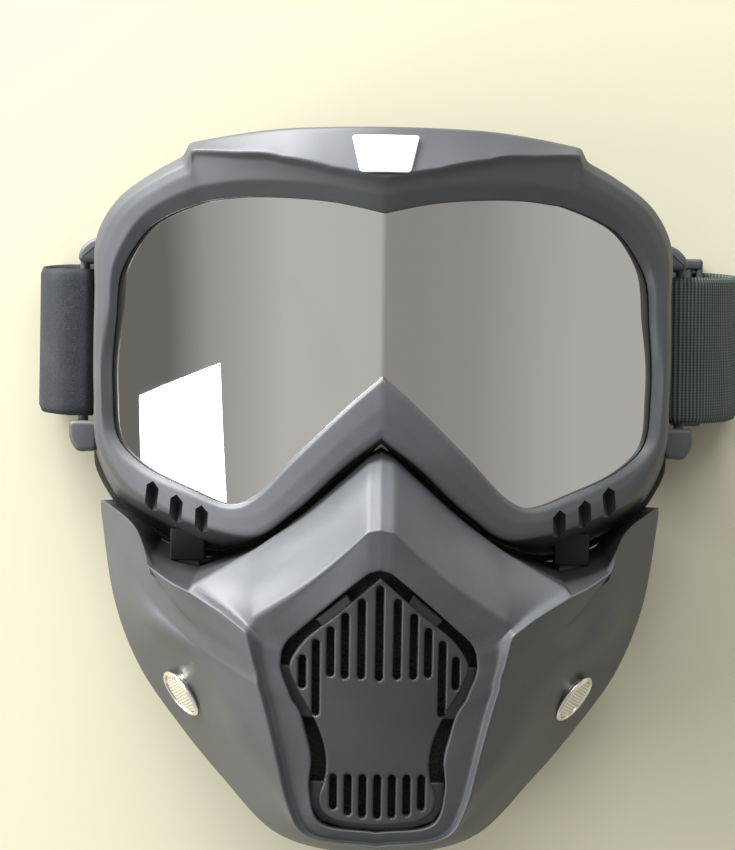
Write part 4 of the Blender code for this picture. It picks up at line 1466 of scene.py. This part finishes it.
@dataclass
class MaskShell:
    """The mask's shell with its raised vent surround, side vent holes and frame tongues.

    Each cut, from the nose round one side to the chin, is a run over the shell: the vent's lip, the foot
    and top of the step around the vent, two on the panel, the outer edge and the rear rim. The wing is
    the cut at the wing's corner, and the flange the columns of the grid that turn in beside the frame.
    """

    steps: int = 8
    wing: int = 10
    flange: tuple = (59, 66)
    wall: float = 2.4
    cuts: tuple = (
        (
            (0, -19.8, 103), (0, -9.6, 104.0), (0, -8.9, 104.1), (0, -1, 95.6), (0, 6, 86.6),
            (0, 11.4, 78), (0, 12.7, 68.5),
        ),
        (
            (3.0, -20.6, 102.8), (3.4, -10.3, 103.8), (3.5, -9.5, 103.9), (3.6, -1.7, 95.5),
            (3.6, 5.1, 86.6), (3.5, 10.0, 78), (3.2, 11.0, 67.5),
        ),
        (
            (7.5, -24.2, 102), (9, -16, 102), (9.3, -15, 102.1), (9.8, -8, 94.5), (10, -1.5, 86.5),
            (10, 4, 78), (9.2, 5.2, 63),
        ),
        (
            (16.5, -32, 99), (20, -26, 99), (20.8, -24.6, 99.2), (21.5, -18, 92.5), (22, -12, 84.5),
            (22.5, -7, 76), (21.8, -6.6, 54),
        ),
        (
            (24.3, -39.0, 95.6), (30.6, -37.2, 95.0), (34.2, -33.6, 95.2), (34.8, -26.5, 90.0),
            (34.6, -20.5, 82.5), (34.5, -16, 75), (35.3, -17.0, 48),
        ),
        (
            (25.5, -40.8, 95.2), (31.4, -39.6, 94.6), (35.2, -35.8, 94.6), (41.0, -31.6, 88.4),
            (46.8, -28.4, 83.8), (51.6, -25.8, 80.4), (50.4, -20.8, 40),
        ),
        (
            (26.2, -42.6, 95), (31.9, -41.2, 94.5), (35.9, -37.2, 97.2), (41.6, -33.2, 92.8),
            (47.4, -30.2, 88.0), (52.8, -27.6, 83.6), (51.6, -20.6, 39),
        ),
        (
            (26.5, -46.2, 94.4), (31.9, -45.2, 93.8), (34.5, -42.6, 96.5), (42.6, -38.6, 90.0),
            (50.5, -34.0, 83.0), (58.4, -25.6, 76.0), (57.4, -18.9, 37),
        ),
        (
            (25.9, -49.4, 94.2), (31.6, -47.4, 93.5), (33.8, -45.6, 96.1), (45.5, -40.8, 85.4),
            (56.6, -32.4, 75.4), (65.8, -21.6, 67.0), (64.4, -16.4, 34),
        ),
        (
            (25, -51.5, 94), (31.1, -49.4, 93.3), (33, -48.0, 95.8), (48.5, -42, 82.0),
            (60.2, -28.6, 69.0), (68.6, -14.6, 58), (67.6, -13.6, 32),
        ),
        (
            (23.5, -55.5, 93.5), (30.6, -53, 92.8), (32.5, -51.8, 95.4), (50, -43.5, 80.0),
            (67.0, -30.0, 58.6), (84, -3.4, 33), (83.6, -4.4, 2),
        ),
        (
            (21, -59.5, 93), (29.4, -57, 92), (31.2, -56.0, 94.8), (46.5, -46.5, 82.5),
            (65, -39.5, 62), (79, -35, 32), (77.5, -34, 0.6),
        ),
        (
            (19.5, -65, 92), (27.7, -64, 91), (29.3, -63.5, 93.5), (43, -54.5, 83), (58.5, -51.5, 57),
            (72, -52.5, 34), (69.5, -51, 6),
        ),
        (
            (18, -72, 91), (25.5, -74, 89), (27, -73.5, 91.5), (37.5, -68.5, 81.5), (50, -67.5, 56),
            (58.5, -72, 34), (56, -69.5, 13),
        ),
        (
            (18.5, -80.5, 89), (22.8, -85, 86.5), (24.5, -84.5, 89), (30, -80, 82), (39, -82.5, 60),
            (45, -86.5, 40), (43, -83.5, 20),
        ),
        (
            (16, -89.5, 87.5), (18.5, -93, 85), (20, -93, 87.3), (21.5, -92, 82.5), (26, -95.5, 68),
            (30, -99, 52), (28.5, -95.5, 27),
        ),
        (
            (0, -92.5, 87), (0, -96, 84.5), (0, -96.5, 87), (0, -98.5, 82.5), (0, -103.5, 71.5),
            (0, -105.5, 59), (0, -102.5, 32),
        ),
    )
    corners: tuple = (1, 4, 5, 6, 8, 10)
    radii: tuple = (0.3, 0.7, 0.9, 1.0, 6.5, 7.0, 1.2, 0.9, 0.9, 0.9, 1.5, 1.5, 0)

    def sections(self) -> Array:
        """The shell's section at each cut, with the vent wall's foot first and the inner surface last.

        The inner surface lies straight under the sloping panels, and moves sideways behind the steep ones.
        """
        outer = both_sides(smooth_run(self.cuts, self.corners, self.steps))
        count = len(outer)
        from_nose = np.minimum(np.arange(count), count - np.arange(count))
        steep = np.clip((from_nose / self.steps - self.wing) / 1.33, 0.0, 1.0)[:, None]
        edge_in = mitred_inward(outer[:, 5])
        inward = -np.sign(outer[:, 5, 0])
        edge_in[:, 0] = inward * np.maximum(0.0, inward * edge_in[:, 0])
        walled = np.clip((outer[:, 5, 2:] - outer[:, 6, 2:] - self.wall) / 10.0, 0.0, 1.0)

        def under(row: int, sideways: Any, down: Any) -> Array:
            return outer[:, row] + edge_in * sideways - np.array([[0, 0, 1]]) * down

        inner = [
            under(6, self.wall * walled, 0.5 * (1 - walled)),
            under(5, self.wall * walled, 3.6 - 1.4 * walled),
            under(4, 2.0 * steep, 3.8),
            under(3, 0.9 * steep, 3.6),
            under(1, 0, 3.0),
        ]
        foot = outer[:, 0] - (0, 0, 4.5)
        return np.concatenate([foot[:, None], outer, np.stack(inner, axis=1)], axis=1)

    def build(self, finishes: Finishes, vents: "SideVents") -> list[bpy.types.Object]:
        """Makes the shell and its two tongues.

        Args:
            finishes: the object's materials.
            vents: the side vents, which say where the shell is bored.

        Returns:
            The pieces.
        """
        grid = eased_corners(rounded_loop(self.sections(), self.radii), self)
        shell = place(
            ring_mesh("mask_moulding", grid), Body.MASK, finishes.mask, ["mask_shell"]
        )
        # Painted shade: the flange beside the frame gets the dark rubber material so the hollow reads dark.
        self._paint_rim_shade(shell.data, grid, finishes.rubber)
        cut(shell, joined("bores", [vents.bore(side) for side in Side]))
        pieces = [shell]
        for side in Side:
            middle = side.value * TONGUE_X
            across = (middle - 3.5, middle + 3.5)
            flat = block_mesh("tongue", box(across, (-36.0, -15.5)), 50.0, 52.0, 0.5)
            post = block_mesh("post", box(across, (-36.0, -34.0)), 50.0, 65.5, 0.4)
            tongue = joined(f"mask_tongue_{side.word}", [flat, post])
            pieces.append(place(tongue, Body.MASK, finishes.mask))
        return pieces

    def _paint_rim_shade(self, mesh: bpy.types.Mesh, grid: Array, finish: bpy.types.Material) -> None:
        """Paints shade on the flange that turns in beside the frame: its faces get the dark rubber material.
        """
        rows, columns = grid.shape[:2]
        mesh.materials.append(finish)
        for row in range(rows):
            if min(row, rows - 1 - row) < (self.wing - 0.3) * self.steps:
                for column in range(*self.flange):
                    mesh.polygons[row * columns + column].material_index = 1


@dataclass
class SideVents:
    """A flanged steel eyelet in each cheek with woven wire domed across it."""

    centre: tuple = (55.5, -58.5, 54.5)
    axis: tuple = (0.725, -0.544, 0.42)
    tube: float = 6.0
    profile: tuple = (
        (5.2, 1.2), (6.3, 1.4), (6.55, 2.25), (7.1, 2.3), (7.75, 1.6), (7.6, 0.9), (6.0, 0.8),
        (6.0, -3.6), (5.2, -3.6),
    )
    rounding: tuple = (0.2, 0.15, 0.25, 0.4, 0.25, 0.1, 0.1, 0.2, 0.2)
    disc_radius: float = 6.2
    disc_height: float = 1.72
    dome: float = 0.6
    wire_pitch: float = 0.9

    def _placed(self, side: Side) -> tuple[Array, Array]:
        """One vent's centre and axis."""
        return np.array(self.centre) * (side.value, 1, 1), np.array(self.axis) * (side.value, 1, 1)

    def bore(self, side: Side) -> bpy.types.Mesh:
        """The cutter of one vent's hole in the shell."""
        centre, axis = self._placed(side)
        return rod_mesh(
            "bore", tuple(centre - axis * 12), tuple(centre + axis * 12), self.tube + 0.2, 48
        )

    def build(self, finishes: Finishes) -> list[bpy.types.Object]:
        """Makes the eyelets and their wire discs."""
        pieces = []
        for side in Side:
            centre, axis = self._placed(side)
            ring = turned_mesh(
                f"eyelet_{side.word}", self.profile, self.rounding, tuple(centre), tuple(axis)
            )
            pieces.append(
                place(ring, Body.MASK, finishes.steel, [f"side_vent_ring_{side.word}"])
            )
            disc = self._disc(side)
            pieces.append(place(disc, Body.MASK, finishes.wire, [f"side_vent_mesh_{side.word}"]))
        return pieces

    def _disc(self, side: Side) -> bpy.types.Mesh:
        """Woven wire: a shallow dome h(1 - r^2), with the wires' weave as a product of two sines on it."""
        centre, axis = self._placed(side)
        radius, angle = np.meshgrid(np.linspace(0.004, 1, 40), full_turn(96), indexing="ij")
        u, v = radius * np.cos(angle) * self.disc_radius, radius * np.sin(angle) * self.disc_radius
        weave = 0.06 * np.sin(u * 2 * math.pi / self.wire_pitch) * np.sin(
            v * 2 * math.pi / self.wire_pitch
        )
        dome = self.dome * (1 - radius**2) + weave + self.disc_height
        front, back = np.stack([u, v, dome], -1), np.stack([u, v, dome - 0.25], -1)
        grid = np.concatenate([front, back[::-1]]) @ turn_to(axis).T + centre
        uv = np.concatenate([np.stack([u, v], -1), np.stack([u, v], -1)[::-1]]) * MM
        return tube_mesh(f"wire_disc_{side.word}", grid, uv)


@dataclass
class Vent:
    """The slotted grille in the mask's vent, and the filter foam and retainer that pull out behind it."""

    opening: tuple = (
        (0.0, -18.5), (13.0, -28.8), (25.6, -39.0), (27.5, -44.0), (26.2, -49.5), (23.5, -56.5),
        (20.0, -62.8), (18.2, -69.0), (18.2, -75.5), (19.0, -81.5), (19.0, -85.5), (15.5, -90.5),
        (9.0, -92.4), (0.0, -93.0),
    )
    plate: tuple = (
        (0.0, -21.8), (11.0, -31.6), (21.8, -41.2), (24.2, -46.0), (22.0, -52.5), (17.7, -60.0),
        (14.9, -67.0), (14.0, -73.0), (14.6, -78.5), (15.9, -82.5), (15.2, -86.4), (12.5, -88.6),
        (6.0, -90.0), (0.0, -90.4),
    )
    upper_slots: tuple = (
        (0.0, -23.8, -50.0), (4.8, -27.4, -49.5), (9.2, -31.4, -49.5), (13.1, -35.2, -49.0),
        (17.0, -38.8, -60.0), (20.7, -43.2, -52.5),
    )
    lower_slots: tuple = (
        (0.0, -76.0, -88.6), (4.0, -76.0, -88.4), (8.0, -76.0, -87.8), (12.0, -76.0, -86.2)
    )
    bridges: tuple = (
        ((9.0, -26.4), (17.2, -33.4), (14.2, -36.6), (6.4, -30.4)),
        ((27.4, -46.4), (25.0, -53.6), (20.8, -60.8), (15.0, -60.8), (17.0, -46.4)),
        (
            (18.4, -78.6), (19.0, -84.8), (15.4, -89.8), (9.0, -91.8), (0.0, -92.4), (-9.0, -91.8),
            (-15.4, -89.8), (-19.0, -84.8), (-18.4, -78.6), (-13.0, -78.6), (-13.6, -86.0),
            (0.0, -88.8), (13.6, -86.0), (13.0, -78.6),
        ),
    )
    windows: tuple = ((11.0, -33.0, -43.0), (15.0, -46.0, -60.0), (13.0, -63.0, -87.0))
    slot_width: float = 2.0
    strip_slot_width: float = 2.2

    @staticmethod
    def _whole(half: tuple, sharp: tuple = ()) -> Array:
        """The whole smooth outline of one that is given at x >= 0."""
        fine = smooth_run(half, sharp, 5)
        return np.concatenate([fine, fine[-2:0:-1] * (-1, 1)])

    def build(self, finishes: Finishes) -> list[bpy.types.Object]:
        """Makes the grille, its strips, the filter foam and the retainer."""
        outline = self._whole(self.plate)
        slots = [
            (side.value * x, top, low)
            for x, top, low in self.upper_slots + self.lower_slots
            for side in (Side if x else (Side.LEFT,))
        ]

        def under(depth: float) -> Field:
            return lambda x, y: vent_z(x, y) - depth

        slotted = self._slotted(outline, slots, self.slot_width)
        plate = plate_mesh(
            "vent_plate", slotted, ((-25.4, -91.5), (25.4, -21.0)), under(0.5), 2.0, 0.55, 0.3
        )
        grille = place(plate, Body.MASK, finishes.grille, ["vent_grille"])
        strips = []
        for number, bridge in enumerate(self.bridges):
            whole = min(x for x, _ in bridge) < 0
            for side in (Side.LEFT,) if whole else Side:
                placed = np.array(bridge) * (side.value, 1)
                reach = (tuple(placed.min(0) - 0.5), tuple(placed.max(0) + 0.5))
                inside = self._slotted(placed, slots, self.strip_slot_width)
                strips.append(plate_mesh(f"strip_{number}", inside, reach, under(2.45), 1.4, 0.3, 0.4))
        steps = place(joined("vent_strips", strips), Body.MASK, finishes.grille)
        return [grille, steps, *self._filter(finishes)]

    @staticmethod
    def _slotted(outline: Array, slots: list, width: float) -> Field:
        """The depth inside an outline, clear of slots of a width."""

        def depth(x: Array, y: Array) -> Array:
            gaps = [slot_depth(x, y, *slot, width) for slot in slots]
            return np.minimum(outline_depth(x, y, outline), np.min(gaps, axis=0))

        return depth

    def _filter(self, finishes: Finishes) -> list[bpy.types.Object]:
        """The filter foam, its face pitted by a sum of sines, and the retainer with its windows."""
        outline = self._whole(self.opening)

        def foam_top(x: Array, y: Array) -> Array:
            broad = np.sin(3.1 * x + 1.7 * y) * np.sin(2.3 * y - 1.1 * x)
            fine = np.sin(5.3 * x) * np.sin(4.7 * y + x)
            return vent_z(x, y) - 5.2 + 0.12 * (broad + fine)

        foam = plate_mesh(
            "filter_pad",
            lambda x,
            y: outline_depth(x, y, outline) + 1.1,
            ((-29.5, -95.0), (29.5, -16.5)),
            foam_top,
            5.8,
            0.8,
            0.4,
        )
        pad = place(foam, Body.FILTER, finishes.filter, ["filter_foam"])

        def frame(x: Array, y: Array) -> Array:
            depth = outline_depth(x, y, outline)
            for width, top, low in self.windows:
                past_x = abs(abs(x) - (1.5 + width) / 2) - (width - 1.5) / 2 + 1
                past_y = abs(y - (top + low) / 2) - (top - low) / 2 + 1
                outside = np.hypot(np.maximum(past_x, 0), np.maximum(past_y, 0))
                depth = np.minimum(depth, outside + np.minimum(np.maximum(past_x, past_y), 0) - 1)
            return depth

        holder = plate_mesh(
            "filter_holder",
            frame,
            ((-28.0, -93.5), (28.0, -18.0)),
            lambda x,
            y: vent_z(x, y) - 11.4,
            2.0,
            0.5,
            0.4,
        )
        return [pad, place(holder, Body.FILTER, finishes.grille, ["filter_retainer"])]


# ---------------------------------------------------------------- studio


@dataclass
class Studio:
    """A plain pale floor, soft lights and the camera straight above."""

    floor_colour: Point = (0.52, 0.50, 0.37)
    eye: tuple = (-0.004, 0.0188, 0.650)
    lens: float = 87.46
    roll: float = 0.81
    floor_half: float = 3.0
    sky: tuple = (
        (0.0, 0.20), (0.055, 0.20), (0.10, 0.45), (0.225, 0.67), (0.46, 0.65), (0.53, 0.37),
        (0.66, 0.37), (0.775, 0.40), (0.93, 0.60), (1.0, 0.60),
    )
    lights: tuple = (
        ("window", (-1.30, -0.33, 0.84), (0.80, 0.56), 14.0, (1.0, 1.0, 1.0)),
        ("low_window", (-1.25, 1.74, 0.50), (1.8, 0.8), 190.0, (0.97, 0.98, 1.0)),
        ("top_window", (0.2, 1.25, 1.2), (1.2, 1.0), 17.0, (0.96, 0.98, 1.0)),
    )

    def build(self) -> None:
        """Sets the floor, the lights, the sky and the camera."""
        self._floor()
        self._sky()
        for light in self.lights:
            self._light(*light)
        self._camera()
        bpy.context.scene.view_settings.view_transform = "Standard"

    def _floor(self) -> None:
        """A wide flat floor with a faint grain."""
        reach = (-self.floor_half, self.floor_half)
        mesh = bpy.data.meshes.new("floor")
        mesh.from_pydata([(x, y, 0) for x, y in box(reach, reach)], [], [(0, 1, 2, 3)])
        floor = linked("floor", mesh)
        g = Graph("pale_floor")
        tone = g.noise(g.place(), 5.0, 3.0)
        colour = g.blend(tone, self.floor_colour, tuple(c * 0.96 for c in self.floor_colour))
        mesh.materials.append(g.finish(Base_Color=colour, Roughness=0.8))

    def _sky(self) -> None:
        """A soft sky that is brighter on one side of the zenith than on the other."""
        world = bpy.data.worlds.new("soft_sky")
        bpy.context.scene.world = world
        world.use_nodes = True
        nodes, links = world.node_tree.nodes, world.node_tree.links
        way = nodes.new("ShaderNodeTexCoord")
        split = nodes.new("ShaderNodeSeparateXYZ")
        links.new(way.outputs["Generated"], split.inputs[0])
        spread = nodes.new("ShaderNodeMapRange")
        for key, value in {"From Min": -1.0, "From Max": 1.0}.items():
            spread.inputs[key].default_value = value
        links.new(split.outputs[0], spread.inputs["Value"])
        ramp = nodes.new("ShaderNodeValToRGB")
        while len(ramp.color_ramp.elements) < len(self.sky):
            ramp.color_ramp.elements.new(0.5)
        for element, (position, level) in zip(ramp.color_ramp.elements, self.sky):
            element.position = position
            element.color = (level, level * 0.985, level * 0.955, 1.0)
        links.new(spread.outputs[0], ramp.inputs[0])
        back = nodes["Background"]
        links.new(ramp.outputs[0], back.inputs[0])
        back.inputs[1].default_value = 1.0

    def _light(
        self, name: str, spot: Point, size: tuple[float, float], power: float, colour: Point
    ) -> None:
        """A soft box that faces the object."""
        data = bpy.data.lights.new(name, "AREA")
        data.shape, data.energy, data.color = "RECTANGLE", power, colour
        data.size, data.size_y = size
        lamp = linked(name, data)
        toward = (Vector((0, 0, 0.06)) - Vector(spot)).normalized()
        across = toward.cross(Vector((0, 0, 1))).normalized()
        up = across.cross(toward)
        facing = Matrix((across, up, -toward)).transposed().to_4x4()
        lamp.matrix_world = Matrix.Translation(spot) @ facing

    def _camera(self) -> None:
        """The camera, straight above and rolled a little."""
        data = bpy.data.cameras.new("camera")
        data.lens, data.sensor_width, data.sensor_fit = self.lens, 36.0, "AUTO"
        camera = linked("camera", data)
        camera.matrix_world = Matrix.Translation(self.eye) @ Matrix.Rotation(
            math.radians(self.roll), 4, "Z"
        )
        bpy.context.scene.camera = camera


def main() -> None:
    """Builds the goggles, the strap, the mask and the studio."""
    logging.basicConfig(level=logging.INFO, format="%(name)s %(message)s")
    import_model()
    finishes = Finishes()
    shape = FrameShape()
    vents = SideVents()
    groups = {
        "frame": GoggleFrame(shape).build(finishes),
        "lens": Lens(shape).build(finishes),
        "badge": Badge().build(finishes),
        "cushion": FaceCushion(shape).build(finishes),
        "strap": Strap().build(finishes),
        "mask": MaskShell().build(finishes, vents),
        "side vents": vents.build(finishes),
        "vent": Vent().build(finishes),
    }
    for name, pieces in groups.items():
        LOG.info("%s: %s", name, ", ".join(piece.name for piece in pieces))
    Studio().build()


if __name__ == "__main__":
    main()
